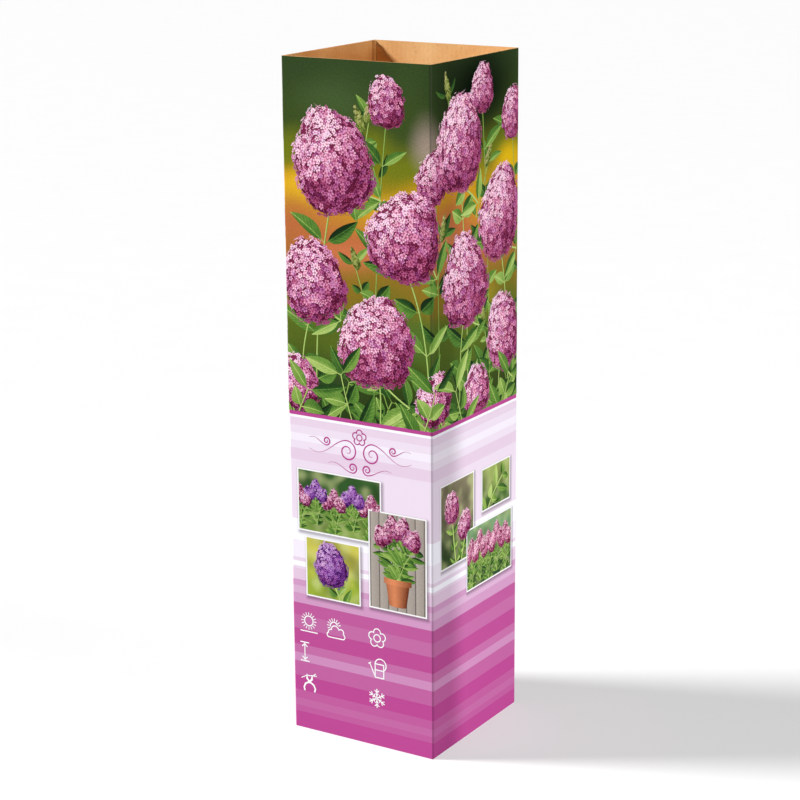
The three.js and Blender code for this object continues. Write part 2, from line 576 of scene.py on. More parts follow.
# %% The garden out of focus
GARDEN = [  # place down the picture and colour
    (0.0, (48, 66, 36)), (0.16, (54, 72, 32)), (0.27, (104, 112, 26)), (0.36, (190, 140, 30)),
    (0.48, (176, 100, 58)), (0.60, (130, 104, 34)), (0.74, (80, 98, 32)), (1.0, (32, 48, 20)),
]
BLURS = [  # centre across and down, half width, half height, colour, strength
    (34, 22, 30, 20, (66, 88, 50), 0.6), (94, 14, 20, 14, (52, 72, 38), 0.7),
    (150, 18, 58, 38, (2, 10, 2), 1.0), (97, 44, 13, 17, (158, 138, 132), 0.75),
    (12, 74, 24, 12, (226, 176, 40), 0.7), (70, 78, 26, 9, (204, 160, 52), 0.6),
    (124, 66, 24, 10, (218, 182, 44), 0.75), (186, 64, 18, 12, (214, 172, 14), 0.85),
    (44, 112, 30, 13, (206, 112, 78), 0.6), (104, 104, 22, 16, (222, 140, 104), 0.6),
    (176, 108, 28, 18, (196, 104, 88), 0.6), (16, 142, 18, 14, (152, 140, 40), 0.6),
    (146, 140, 28, 12, (178, 160, 44), 0.6), (84, 158, 26, 18, (70, 104, 44), 0.7),
    (30, 188, 30, 18, (40, 62, 34), 0.8), (128, 186, 22, 22, (60, 96, 46), 0.6),
    (184, 176, 22, 26, (52, 62, 30), 0.8),
]
BLUR_EDGE, BLUR_CORE = 1.25, 0.1  # where a spot ends and where it is full, in half sizes
DRIFT, BAND_DRIFT, BLUR_DRIFT = 0.018, 46, 20  # features in a millimetre, and how far they bend


def blurred_garden(finish, across, down):
    """Bands of colour down the picture, with soft spots over them, all bent by slow noise."""
    where = finish.vector(across, down)
    drift = finish.noise(where, DRIFT, detail=1) - 0.5
    fall = (down + drift * BAND_DRIFT) / PICTURE
    colour = finish.ramp(fall, [(place, ink(*shade)) for place, shade in GARDEN], how="EASE")
    for x, y, width, height, shade, strength in BLURS:
        off_x, off_y = (across - x) / width, (down - y + drift * BLUR_DRIFT) / height
        distance = (off_x * off_x + off_y * off_y).math("SQRT")
        share = finish.smooth(distance, BLUR_EDGE, BLUR_CORE) * strength
        colour = finish.blend(share, colour, ink(*shade))
    grain = finish.smooth(finish.noise(where, 0.9, detail=2), 0.2, 1.5)
    return finish.blend(grain, colour, ink(250, 244, 210), how="SOFT_LIGHT")


# %% The shadows that the small pictures throw on the stripes
SHADOW_DROP = (0.9, 1.2)  # to the right and down
SHADOW_SOFTNESS, SHADOW_INSIDE = 2.2, -0.6  # from where it ends to where it is full
SHADOW_DEPTH = 0.55
INSETS = {  # left and right edge, top and bottom edge below the rim
    "bed": (5, 64, 243, 282), "pot": (55, 95, 261, 322), "bloom": (10, 49, 285, 323),
    "pair": (107, 146, 243, 295), "hedge": (137, 192, 278, 317), "sprig": (155, 190, 245, 272),
}


def inset_shadow(finish, across, down):
    """How dark the shadows are, as one minus the light that each inset lets through."""
    light = 1.0
    for left, right, top, bottom in INSETS.values():
        half_w, half_h = (right - left) / 2, (bottom - top) / 2
        x = (across - (left + half_w + SHADOW_DROP[0])).math("ABSOLUTE") - half_w
        y = (down - (top + half_h + SHADOW_DROP[1])).math("ABSOLUTE") - half_h
        beside, below = (finish.smooth(off, SHADOW_SOFTNESS, SHADOW_INSIDE) for off in (x, y))
        light = (1 - beside * below * SHADOW_DEPTH) * light
    return 1 - light


def pale_fold_line(finish, across, colour):
    """Blends the picture a little towards a pale colour along the folds, where it shows as a thin
    pale line.
    """
    from_fold = across.math("PINGPONG", FACE / 2)
    return finish.blend(finish.smooth(from_fold, FOLD_PALE_FROM, 0.0) * FOLD_PALE, colour, ink(236, 238, 214))


def painted_corner_shade(finish, colour):
    """Paints shade on the right face beside the front corner, and on the left face as it repeats
    it.
    """
    side, along, _ = finish.apart(finish.place())
    past_corner = along * side.math("SIGN") + high[1]
    shade = finish.smooth(past_corner, SHADE_TO, SHADE_FROM)
    on_side = side.math("ABSOLUTE").math("GREATER_THAN", INNER)
    return finish.blend(shade * on_side * CORNER_SHADE, colour, ink(0, 0, 0))


# %% The printed face
def printed_paper():
    finish = printed("printed paper")
    across, up = finish.on_map("Sheet")
    down = HEIGHT - up
    tint = striped(finish, down)
    stripes = finish.ramp(tint, [(0.0, PAPER_WHITE), (TINT_SHARE, TINT), (1.0, MAGENTA)])
    stripes = finish.blend(inset_shadow(finish, across, down), stripes, ink(70, 40, 60))
    in_picture = down.math("LESS_THAN", PICTURE)
    garden = pale_fold_line(finish, across, blurred_garden(finish, across, down))
    # painted shade on the right and the left face beside the front corner
    print_colour = painted_corner_shade(finish, finish.blend(in_picture, stripes, garden))
    where = finish.place()
    grain = finish.noise(where, PAPER_GRAIN, detail=3)
    scuff = finish.smooth(finish.noise(where, 0.35, detail=6, roughness=0.75), 0.66, 0.9)
    foot = finish.smooth(up, SCUFFED, -1.0) * scuff
    colour = finish.blend(foot * 0.5, print_colour, ink(240, 222, 234))
    relief = grain * 0.3 + flute_wave(across) * 0.2
    gloss = 0.5 + grain * 0.16 + foot * 0.2
    return finish.wear(colour, relief, height=0.03, roughness=gloss)


def white_liner():
    """The unprinted side of the glue flap."""
    finish = Finish("white liner", PAPER_ROUGHNESS)
    grain = finish.noise(finish.place(), PAPER_GRAIN, detail=4)
    colour = finish.ramp(grain, [(0.3, ink(226, 218, 206)), (0.7, ink(246, 242, 236))])
    return finish.wear(colour, grain, height=0.02)


def bottom_paper():
    """The print under the carton: plain ink, rubbed thin where it slides over shelves."""
    finish = printed("printed paper, bottom")
    where = finish.place()
    grain = finish.noise(where, PAPER_GRAIN, detail=3)
    rubbed = finish.smooth(finish.noise(where, 0.12, detail=6, roughness=0.7), 0.56, 0.78)
    scratches = finish.noise(finish.stretched(where, 0.06, 1.4, 1.0), 1.0, detail=3)
    worn = finish.smooth(scratches, 0.66, 0.8) * 0.5 + rubbed * 0.4
    colour = finish.blend(worn, MAGENTA, ink(226, 196, 214))
    return finish.wear(colour, grain * 0.3, height=0.03, roughness=0.5 + grain * 0.16)


PRINT, BOTTOM_PRINT, WHITE_LINER = printed_paper(), bottom_paper(), white_liner()

# %% [markdown]
# ## The walls
# The printed liner is four pieces, one for each wall, which meet in the middle of the folds. It
# could be one piece all the way round, but each piece gets its own map laid out for one square
# image of its colours, and four images would hold the print twice as sharp. The walls at the back
# and the sides fold in at the foot, where the bottom flaps hang on them; the front wall is simply
# cut off.

# %% Where columns and rows go
FLAP_SLANT = 14.0  # how much shorter the glue flap's free edge is, at each end
foot_turns = -FOLD * math.pi / 2 * np.arange(FOLD_STEPS - 1, 0, -1) / FOLD_STEPS
picture_foot = HEIGHT - PICTURE


def stations_between(start, end):
    inside = tube_path[0][(tube_path[0] > start + 1e-6) & (tube_path[0] < end - 1e-6)]
    return np.concatenate([[start], inside, [end]])


def flap_share(along):
    """0 at the glue flap's crease and 1 at its free edge."""
    return np.clip((SEAM_FOLD - HALF_FOLD - along) / (SEAM_FOLD - HALF_FOLD - FLAP_EDGE), 0, 1)


def rim_height(along):
    return HEIGHT - (HEIGHT - (flap_high[2] - FLAP_SLANT)) * flap_share(along)


def design_across(along):
    """Distance across the print, which starts again on the back and on the left wall."""
    return along + 2 * FACE * (along < LEFT_FOLD) - 2 * FACE * (along > RIGHT_FOLD)


def foot_height(along):
    """Where the sheet ends below: cut on the floor in front, and above the fold elsewhere."""
    in_front = (along > LEFT_FOLD + HALF_FOLD) & (along < CORNER_FOLD - HALF_FOLD)
    foot = np.where(in_front, 0.0, FOLD)
    on_flap = along < SEAM_FOLD - HALF_FOLD + 1e-6
    return np.where(on_flap, flap_low[2] + FLAP_SLANT * flap_share(along), foot)


def full_height(columns):
    """Rows from the foot to the rim, for each column."""
    return np.stack([foot_height(columns), rim_height(columns)], 1)


# %% How a wall's sheets are placed, and how its print is stored
def folded_at_foot(along, up, depth):
    height, depth = tucked_under(up - FOLD, depth)
    return on_tube(along, height, depth)


BAKE_EDGE, BAKE_STRIP = 0.01, 0.006  # margin of the image, and half the strip for hidden faces
BAKE_BACK, BAKE_CUTS = (0.1, 0.88), (0.02, 0.04)  # where in the strip the back and the cuts lie


def print_maps(start, end):
    """The liner's maps. In the map for an image of its colours the picture and the stripes lie side
    by side.
    """
    def maps(address, kind):
        across, up = address.T
        share = (across - start) / (end - start)
        pictured = np.repeat(up.reshape(-1, 4).mean(1) > picture_foot, 4)
        bottom = np.where(pictured, picture_foot, foot_turns[0] + FOLD)
        top = np.where(pictured, HEIGHT, picture_foot)
        width = 0.5 - BAKE_EDGE - BAKE_STRIP
        u = BAKE_EDGE + width * share + pictured * (0.5 - BAKE_EDGE + BAKE_STRIP)
        v = BAKE_EDGE + (1 - 2 * BAKE_EDGE) * (up - bottom) / (top - bottom)
        square = np.tile([[0, 0], [1, 0], [1, 1], [0, 1]], (len(up) // 4, 1))
        hidden_u = 0.5 + BAKE_STRIP * np.where(kind == 1, 2 * share - 1, square[:, 0] - 0.5)
        back_v = BAKE_BACK[0] + BAKE_BACK[1] * up / HEIGHT
        hidden_v = np.where(kind == 1, back_v, BAKE_CUTS[0] + BAKE_CUTS[1] * square[:, 1])
        bake = np.where(kind[:, None] == 0, np.stack([u, v], 1), np.stack([hidden_u, hidden_v], 1))
        return {"Sheet": np.stack([design_across(across), up], 1) * MM, "OFBake": bake}
    return maps


# %% The printed liner, wall by wall
folded_rows = [*(foot_turns + FOLD), FOLD, picture_foot, HEIGHT]
cut_rows = [0.0, picture_foot, HEIGHT]
WALLS = {
    "left": (SEAM_FOLD - HALF_FOLD, LEFT_FOLD), "front": (LEFT_FOLD, CORNER_FOLD),
    "right": (CORNER_FOLD, RIGHT_FOLD), "back": (RIGHT_FOLD, BACK_EDGE),
}
for wall, (start, end) in WALLS.items():
    rows, place = (cut_rows, on_tube) if wall == "front" else (folded_rows, folded_at_foot)
    liner = paper_solid(
        f"printed_liner_{wall}", stations_between(start, end), rows, place,
        (FOLD - LINER, FOLD), [PRINT, KRAFT], print_maps(start, end),
    )
    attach(liner, "tube")
    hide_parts(f"wall_{wall}")
    print(liner.name, len(liner.data.polygons), "faces")

# %% [markdown]
# ## The inside
# The inner liner is one sheet all the way round, from the back wall's cut edge to the free edge of
# the glue flap. A creased board doesn't turn a sharp corner on the inside: the liner is pushed in
# and bulges into a round bead, which catches the light as a pale strip down each corner. The dark
# line on either side of the bead is painted shade. So the columns close to a fold are moved out
# to a small arc.

# %% The inner liner and its beads
BEAD = 1.6  # how far the bead reaches from the inside corner
BEAD_STEPS = 4
BEAD_FROM, BEAD_FULL = 3.0, 8.0  # above the foot, where it starts and where it is full
FOLDS = (SEAM_FOLD, LEFT_FOLD, CORNER_FOLD, RIGHT_FOLD)
inside_corners = [(-INNER, SEAM), (-INNER, -INNER), (INNER, -INNER), (INNER, INNER)]


def beaded(along, up, depth):
    """Places the inner liner, with its inward face bulged into a round bead at each fold."""
    points = on_tube(along, up, depth)
    for fold, corner in zip(FOLDS, np.array(inside_corners)):
        beside = np.array([on_path(tube_path, fold + side * FACE / 3, 0.0) for side in (-1, 1)])
        walls = (beside - corner) / np.linalg.norm(beside - corner, axis=1, keepdims=True)
        share = np.clip((np.abs(along - fold) - HALF_FOLD) / BEAD, 0, 1)
        turn = math.pi / 4 * (1 + np.sign(along - fold) * share)  # from one wall to the other
        round_bead = corner + BEAD * (np.cos(turn)[..., None] * walls[0]
                                      + np.sin(turn)[..., None] * walls[1])
        on_bead = (np.abs(along - fold) < HALF_FOLD + BEAD + 1e-6) & (depth < LINER / 2)
        rise = (up - foot_height(along) - BEAD_FROM) / (BEAD_FULL - BEAD_FROM)
        bulge = (on_bead * np.clip(rise, 0, 1))[..., None]
        points[..., :2] = points[..., :2] * (1 - bulge) + round_bead * bulge
    return points


inner_columns = [FLAP_EDGE, BACK_EDGE]
for fold in FOLDS:
    inner_columns.append(fold)
    for step in range(1, BEAD_STEPS + 1):
        off = HALF_FOLD + BEAD * step / BEAD_STEPS
        inner_columns += [fold - off, fold + off]
inner_columns = np.array(sorted(inner_columns))
inner_foot = foot_height(inner_columns)
inner_rows = np.stack(
    [inner_foot, inner_foot + BEAD_FROM, inner_foot + BEAD_FULL, rim_height(inner_columns)], 1
)
bead_edges = [fold + side * (HALF_FOLD + BEAD) for fold in FOLDS for side in (-1, 1)]
# kraft with lines of painted shade along the edges of the beads
KRAFT_WITH_CREASE_SHADE = kraft_paper("kraft paper, creased", creases=bead_edges)
inner_liner = paper_solid(
    "inner_liner", inner_columns, inner_rows, beaded, (0.0, LINER), [KRAFT_WITH_CREASE_SHADE]
)
flap_columns = np.array([FLAP_EDGE, SEAM_FOLD - HALF_FOLD])
flap_liner = paper_solid(
    "glue_flap_liner", flap_columns, full_height(flap_columns), on_tube, (FOLD - LINER, FOLD),
    [WHITE_LINER, KRAFT],
)
flute_columns = np.arange(FLAP_EDGE, BACK_EDGE, FLUTE_STEP)
flutes = fluted_sheet("flutes", flute_columns, full_height(flute_columns), on_tube)
for piece in (inner_liner, flap_liner, flutes):
    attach(piece, "tube")
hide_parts("glue_flap")
print("inner liner", len(inner_columns), "columns, flutes", len(flute_columns), "columns")

# %% [markdown]
# ## The bottom
# The carton closes as a tuck box does. A panel hangs on the back wall, and the tab on its front
# edge tucks up inside the front wall. Two dust flaps on the side walls lie across above it. Each
# is the same board, so the same functions make them, along a path in its own plane.

# %% The closure panel and its tab
_, tab_high = node_box("tuck_tab")
TAB_FACE = tab_high[1]
panel_reach = closure_high[1] - TAB_FACE
TAB_RADIUS = 7.0
WING_COLUMNS = 14
closure_path = folded_path(
    [(closure_high[1], BOARD), (TAB_FACE, BOARD), (TAB_FACE, tab_high[2])], [270, 180]
)
tab_top = closure_path[0][-1]


def on_closure(across, travel, depth):
    side = on_path(closure_path, travel, depth)
    return np.concatenate([np.asarray(across, float)[..., None], side], -1)


def rounded_reach(reach, radius, past):
    """How far a sheet reaches, at distances past the place where its corner starts to turn."""
    return reach - radius + np.sqrt(np.maximum(radius**2 - past**2, 0.0))


def tab_edge(across):
    """Where the tab ends, with its two free corners rounded."""
    past = np.maximum(np.abs(across) - (tab_high[0] - TAB_RADIUS), 0)
    return rounded_reach(tab_top, TAB_RADIUS, past)


def tab_columns(steps=6):
    """Columns across the tab, closer together where its free corners are rounded."""
    straight = tab_high[0] - TAB_RADIUS
    turns = np.linspace(0, math.pi / 2, steps, endpoint=False)[1:]
    arc = np.append(straight + TAB_RADIUS * np.sin(turns), tab_high[0] - 0.02 * TAB_RADIUS)
    middle = np.linspace(-straight, straight, round(2 * straight / FLUTE_STEP))
    return np.concatenate([-arc[::-1], middle, arc])


def closure_sheets(name, make):
    """One sheet of the closure: the panel with its tab, and the narrow wing on either side."""
    columns = tab_columns()
    bends = closure_path[0][1:-1]
    rows = np.array([[0.0, *bends, top] for top in tab_edge(columns)])
    parts = [make(name, columns, rows, on_closure)]
    for side in (-1, 1):
        wing = np.linspace(tab_high[0], closure_high[0], WING_COLUMNS) * side
        parts.append(make(name, np.sort(wing), [0.0, panel_reach], on_closure))
    return joined(name, parts)


# %% The dust flaps
dust_low, dust_high = node_box("dust_flap_right")
DUST_RADIUS = 4.0
FIRST_COLUMN, SHARP_TIP = 0.05, 0.6  # left off at the rounded and at the pointed end
dust_reach = dust_high[0] - dust_low[0]
slope_start = dust_high[1] - dust_reach  # where the back edge, at 45 degrees, meets the free edge


def dust_edge(y):
    """How far a dust flap reaches from its crease, at a distance along the crease."""
    front = np.maximum(dust_low[1] + DUST_RADIUS - y, 0)
    square = rounded_reach(dust_reach, DUST_RADIUS, front)
    tangent = DUST_RADIUS * math.tan(math.pi / 8)
    past = y - (slope_start - tangent)
    blunt = rounded_reach(dust_reach, DUST_RADIUS, past)
    rounded = np.where(past > tangent * (1 + math.sqrt(0.5)), dust_high[1] - y, blunt)
    return np.where(past > 0, rounded, square)


def dust_sheets(name, make, side):
    """One sheet of the right (side 1) or left (side -1) dust flap."""
    crease, level = side * dust_high[0], dust_high[2]
    path = folded_path([(crease, level), (crease - side * dust_reach, level)], [270])

    def on_flap(across, travel, depth):
        plan = on_path(path, travel, depth)
        return np.stack([plan[..., 0], -side * across, plan[..., 1]], -1)

    arc = DUST_RADIUS * (1 - np.cos(np.linspace(0, math.pi / 2, 6)[:-1]))
    rest = np.arange(DUST_RADIUS, dust_high[1] - dust_low[1] - SHARP_TIP, FLUTE_STEP)
    y = dust_low[1] + np.concatenate([arc + FIRST_COLUMN, rest])
    columns = np.sort(-side * y)
    rows = np.stack([np.zeros(len(columns)), dust_edge(-side * columns)], 1)
    return make(name, columns, rows, on_flap)


# %% Making the flaps of three sheets each
def printed_sheet(name, columns, rows, place):
    return paper_solid(name, columns, rows, place, (FOLD - LINER, FOLD), [BOTTOM_PRINT, KRAFT])


def plain_sheet(name, columns, rows, place):
    return paper_solid(name, columns, rows, place, (0.0, LINER), [KRAFT])


FLAPS = {  # each body's nodes, what makes its sheets, and on which side
    "closure": (("closure_panel", "tuck_tab"), closure_sheets, ()),
    "dust_left": (("dust_flap_left",), dust_sheets, (-1,)),
    "dust_right": (("dust_flap_right",), dust_sheets, (1,)),
}
for body, (nodes, sheets, side) in FLAPS.items():
    outer = sheets(f"{body}_printed_liner", printed_sheet, *side)
    inner = sheets(f"{body}_inner_liner", plain_sheet, *side)
    fluted = sheets(f"{body}_flutes", fluted_sheet, *side)
    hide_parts(nodes[0])
    if len(nodes) > 1:
        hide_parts(nodes[1])
    for piece in (outer, inner, fluted):
        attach(piece, body)
    print(body, sum(len(p.data.polygons) for p in (outer, inner, fluted)), "faces")

# %% [markdown]
# ## Print as thin layers
# The pictures are made flat, as thin cut-outs laid on one another a few hundredths of a
# millimetre apart, and then folded round the carton with the sheet. A picture could also be
# painted by shader nodes alone, but thousands of petals, each with its own edge, light and tint,
# are far sharper as small faces. Coordinates on the flat print are the distance across two faces,
# the height above the foot, and the height of the layer above the paper.

# %% Reading a mesh into arrays
def read(parts, what, width=1, kind=np.float32):
    """One value or vector of each vertex, face corner or face."""
    values = np.empty(len(parts) * width, kind)
    parts.foreach_get(what, values)
    return values if width == 1 else values.reshape(-1, width)


def corner_vertices(mesh):
    return read(mesh.loops, "vertex_index", kind=np.int32)


def spans(mesh):
    """The lowest and highest place of each face, across and up, in millimetres."""
    at = read(mesh.vertices, "co", 3)[corner_vertices(mesh)] / MM
    starts = read(mesh.polygons, "loop_start", kind=np.int32)
    return np.minimum.reduceat(at, starts), np.maximum.reduceat(at, starts)


# %% Cutting flat meshes along lines
SLACK = 1e-5  # a face that reaches past a line by less than this isn't cut


def part_along(mesh, axis, lines):
    """Cuts the faces that lie across any of the lines, so that they can be folded there."""
    normal = (1, 0, 0) if axis == 0 else (0, 1, 0)
    for line in lines:
        place = [line * MM * n for n in normal]
        parts = mesh.verts[:] + mesh.edges[:] + mesh.faces[:]
        bmesh.ops.bisect_plane(mesh, geom=parts, dist=1e-8, plane_co=place, plane_no=normal)


def keep_faces(mesh, keep):
    """A bmesh with only some faces of a mesh."""
    part = bmesh.new()
    part.from_mesh(mesh)
    part.faces.ensure_lookup_table()
    gone = [part.faces[i] for i in np.nonzero(~keep)[0]]
    bmesh.ops.delete(part, geom=gone, context="FACES")
    return part


def cut(mesh, across=(), up=(), inside=None):
    """Cuts a flat mesh along lines, and drops what lies outside a rectangle (left, right,
    bottom, top)."""
    if inside is not None:
        across, up = [*across, *inside[:2]], [*up, *inside[2:]]
    least, most = spans(mesh)
    meets = np.zeros(len(least), bool)
    for axis, lines in ((0, across), (1, up)):
        for line in lines:
            meets |= (least[:, axis] < line - SLACK) & (most[:, axis] > line + SLACK)
    crossed, rest = keep_faces(mesh, meets), keep_faces(mesh, ~meets)
    part_along(crossed, 0, across)
    part_along(crossed, 1, up)
    spare = bpy.data.meshes.new("cut")
    crossed.to_mesh(spare)
    rest.from_mesh(spare)
    if inside is not None:
        left, right, bottom, top = (x * MM for x in inside)
        out = [f for f in rest.faces
               if not (left < (c := f.calc_center_median()).x < right and bottom < c.y < top)]
        bmesh.ops.delete(rest, geom=out, context="FACES")
    rest.to_mesh(mesh)
    for used in (crossed, rest):
        used.free()
    bpy.data.meshes.remove(spare)
    return mesh


# %% Laying a flat mesh on the carton
def wall_shift(wall):
    """From the design's distance across to the sheet's, for one wall."""
    return {"left": -2, "back": 2}.get(wall, 0) * FACE


def merged(name, meshes, materials):
    """One mesh from several, with their maps, attributes and materials kept."""
    whole = bmesh.new()
    for mesh in meshes:
        slot = next(materials.index(worn) for worn in mesh.materials if worn is not None)
        mesh.polygons.foreach_set("material_index", [slot] * len(mesh.polygons))
        whole.from_mesh(mesh)
    mesh = new_mesh(name, materials)
    whole.to_mesh(mesh)
    whole.free()
    return mesh


fold_lines = sorted({
    round(float(station - wall_shift(wall)), 6)
    for wall, (start, end) in WALLS.items() for station in stations_between(start, end)
})


# %% The petals' tones and their map
LOWEST_HUE, HUES = 0.1, 2.6  # how far the hues reach below zero, as a share, and their span
MAP_EDGE, MAP_SPREAD = 0.02, 0.002  # margin, and how far points of one colour lie apart
CORNER_SHADE_TONE = 0.07  # painted shade: how much darker the tones get beside the front corner
SIDE_PAINTED_LIGHT = 0.04  # painted light: how much lighter the tones are painted on the side walls


def values_of(mesh, attribute):
    return read(mesh.attributes[attribute].data, "value")


def map_by_colour(mesh):
    """A map for an image of the colours, in which each corner lies at its own tone and hue, so
    that a small image can hold the colours of many thousand petals."""
    tone, hue = values_of(mesh, "tone"), values_of(mesh, "hue") / HUES
    spread = np.random.default_rng(5).uniform(-MAP_SPREAD, MAP_SPREAD, (2, len(tone)))
    places = MAP_EDGE + (1 - 2 * MAP_EDGE) * np.clip([tone, hue + LOWEST_HUE], 0, 1) + spread
    layer = mesh.uv_layers.new(name="OFBake")
    layer.uv.foreach_set("vector", places.T[corner_vertices(mesh)].astype(np.float32).ravel())


def paint_corner_shade_on_tones(mesh, past_corner):
    """Painted shade beside the corner, on meshes that are coloured by their own tone. Further from
    the corner they get a little painted light, lighter than on the front."""
    fading = np.clip((SHADE_TO - past_corner) / (SHADE_TO - SHADE_FROM), 0, 1)
    tone = values_of(mesh, "tone") + SIDE_PAINTED_LIGHT - CORNER_SHADE_TONE * fading * fading * (3 - 2 * fading)
    mesh.attributes["tone"].data.foreach_set("value", tone.astype(np.float32))


# %% Folding a flat mesh round the carton
def lay_print(name, meshes, materials, by_colour=False):
    """Folds one kind of print round the carton, as one piece on each wall that has any."""
    flat = cut(merged(name, meshes, materials), across=fold_lines)
    least, most = spans(flat)
    middle = (least[:, 0] + most[:, 0]) / 2
    for wall, (start, end) in WALLS.items():
        on_wall = (middle > start - wall_shift(wall)) & (middle < end - wall_shift(wall))
        if not on_wall.any():
            continue
        part = keep_faces(flat, on_wall)
        mesh = new_mesh(f"{name}_{wall}", materials)
        part.to_mesh(mesh)
        part.free()
        across, up, layer = read(mesh.vertices, "co", 3).T / MM
        # painted shade beside the front corner, and painted light further along the side walls
        if wall in ("left", "right") and "tone" in mesh.attributes:
            paint_corner_shade_on_tones(mesh, across - FACE)
        folded = on_tube(across + wall_shift(wall), up, FOLD + layer) * MM
        mesh.vertices.foreach_set("co", folded.astype(np.float32).ravel())
        if by_colour:
            map_by_colour(mesh)
        piece = show(mesh.name, mesh)
        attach(piece, "tube")
        print(piece.name, len(mesh.polygons), "faces")


# %% [markdown]
# ## Flower heads
# The picture shows tall heads of small pink flowers, each with five petals, crowded on a dome.
# Placing them by hand would be endless, so Geometry Nodes grow a head: points scattered on an
# egg-shaped dome, never closer than a set spacing, a floret on each, turned to face outwards and
# spun at random. Light is worked out while the head is still round. Then its depth is pressed
# almost flat, so that what was in front stays in front, and it becomes a cut-out of a few layers.

# %% One floret, one unit across
PETALS = 5
PETAL = [  # outwards, sideways, and how far along
    (0.05, 0.0, 0.0), (0.27, 0.17, 0.55), (0.44, 0.13, 0.95), (0.5, 0.0, 1.0),
    (0.44, -0.13, 0.95), (0.27, -0.17, 0.55),
]
PLAIN_PETAL = [(0.04, 0.0, 0.0), (0.34, 0.18, 0.7), (0.5, 0.0, 1.0), (0.34, -0.18, 0.7)]


def floret_mesh(outline):
    points, faces, along = [], [], []
    for petal in range(PETALS):
        turn = math.tau * petal / PETALS
        first = len(points)
        for out, side, share in outline:
            x = out * math.cos(turn) - side * math.sin(turn)
            y = out * math.sin(turn) + side * math.cos(turn)
            points.append((x, y, 0.16 * out - 0.25 * side**2 + 0.02 * petal))
            along.append(share)
        faces += [(first, first + k + 1, first + k) for k in range(len(outline) - 2, 0, -1)]
    mesh = bpy.data.meshes.new("floret")
    mesh.from_pydata(points, [], faces)
    mesh.attributes.new("along", "FLOAT", "POINT").data.foreach_set("value", along)
    return mesh


# %% What both trees of the picture use
PICTURE_LIGHT = Vector((-0.42, 0.66, 0.62)).normalized()
PRESSED = 0.003  # how flat a head is pressed


def random_value(shape, low, high, seed):
    settings = {2: low, 3: high, 8: seed}
    return shape.add("FunctionNodeRandomValue", {"data_type": "FLOAT"}, settings, output=1)


def stored(shape, geometry, name, value):
    settings = {"data_type": "FLOAT", "domain": "POINT"}
    inputs = {0: geometry, "Name": name, "Value": value}
    return shape.add("GeometryNodeStoreNamedAttribute", settings, inputs)


def named(shape, name):
    return shape.add("GeometryNodeInputNamedAttribute", {"data_type": "FLOAT"}, {"Name": name})


def daylight(shape, normal):
    """How squarely a surface faces the light of the picture, from 0 to 1."""
    settings = {"operation": "DOT_PRODUCT"}
    inputs = {0: normal, 1: tuple(PICTURE_LIGHT)}
    facing = shape.add("ShaderNodeVectorMath", settings, inputs, output=1)
    return facing.math("MAXIMUM", 0.0)


def pressed_flat(shape, parts, share, move, least=0.02):
    """Joins the parts, drops what faces away, and presses the rest almost flat. `least` is how
    squarely a face must look at the viewer to stay."""
    whole = shape.add("GeometryNodeRealizeInstances", None, {0: shape.together(*parts)})
    away = shape.apart(shape.add("GeometryNodeInputNormal"))[2].math("LESS_THAN", least)
    whole = shape.add("GeometryNodeDeleteGeometry", {"domain": "FACE"}, {0: whole, 1: away})
    whole = shape.add("GeometryNodeTransform", None, {0: whole, "Scale": (1.0, 1.0, share)})
    return shape.add("GeometryNodeTransform", None, {0: whole, "Translation": move})


# %% The tree that grows a head: an egg-shaped dome
LUMPS, LEAST_SWELL, SWELL = 1.9, 0.82, 0.36  # noise that makes the dome uneven
head = Shape("flower head", {
    "Centre": "NodeSocketVector", "Size": "NodeSocketVector", "Lean": "NodeSocketFloat",
    "Floret": "NodeSocketFloat", "Spacing": "NodeSocketFloat", "Taper": "NodeSocketFloat",
    "Hue": "NodeSocketFloat", "Seed": "NodeSocketInt", "Material": "NodeSocketMaterial",
})
seed = head.given.of("Seed")
dome = head.add("GeometryNodeMeshUVSphere", None, {"Segments": 40, "Rings": 24})
spot_x, spot_y, spot_z = head.apart(head.add("GeometryNodeInputPosition"))
narrowing = 1 - spot_z * head.given.of("Taper")
egg = head.vector(spot_x * narrowing, spot_z, spot_y * narrowing * -1)
lumps = head.add("ShaderNodeTexNoise", {"noise_dimensions": "4D"}, {
    "W": seed, "Scale": LUMPS, "Detail": 1.0,
})
egg = head.scaled(egg, LEAST_SWELL + lumps * SWELL)
dome = head.add("GeometryNodeSetPosition", None, {0: dome, "Position": egg})
dome = head.add("GeometryNodeTransform", None, {0: dome, "Scale": head.given.of("Size")})
leaning = head.vector(z=head.given.of("Lean"))
dome = head.add("GeometryNodeTransform", None, {0: dome, "Rotation": leaning})

# %% The florets on the dome: where each stands and which way it faces
CROWD = 5.0  # points offered on each square of the spacing, before the close ones are dropped
AROUND = -0.05  # florets grow a little way round the back of the dome too
HUE_SPREAD = 0.22
SUNK, RAISED = 0.9, 0.2  # how deep florets stand, in widths, and the share that stands proud
WOBBLE = 0.45  # how far a floret looks aside
FLORET_SIZES = (0.78, 1.18)  # smallest and largest, in the floret's given width
spacing = head.given.of("Spacing")
outward = head.apart(head.add("GeometryNodeInputNormal"))[2]
scattered = head.add("GeometryNodeDistributePointsOnFaces", {"distribute_method": "POISSON"}, {
    0: dome, "Selection": outward.math("GREATER_THAN", AROUND), "Distance Min": spacing,
    "Density Max": CROWD / (spacing * spacing), "Seed": seed,
})
normal = scattered.of("Normal")
sunk = random_value(head, 0.0, 1.0, seed + 1)
points = stored(head, scattered, "sunk", sunk * sunk)
hue = random_value(head, -HUE_SPREAD, HUE_SPREAD, seed + 2) + head.given.of("Hue")
points = stored(head, points, "hue", hue)
points = stored(head, points, "facing", daylight(head, normal))
shift = head.scaled(normal, (named(head, "sunk") - RAISED) * head.given.of("Floret") * -SUNK)
points = head.add("GeometryNodeSetPosition", None, {0: points, "Offset": shift})
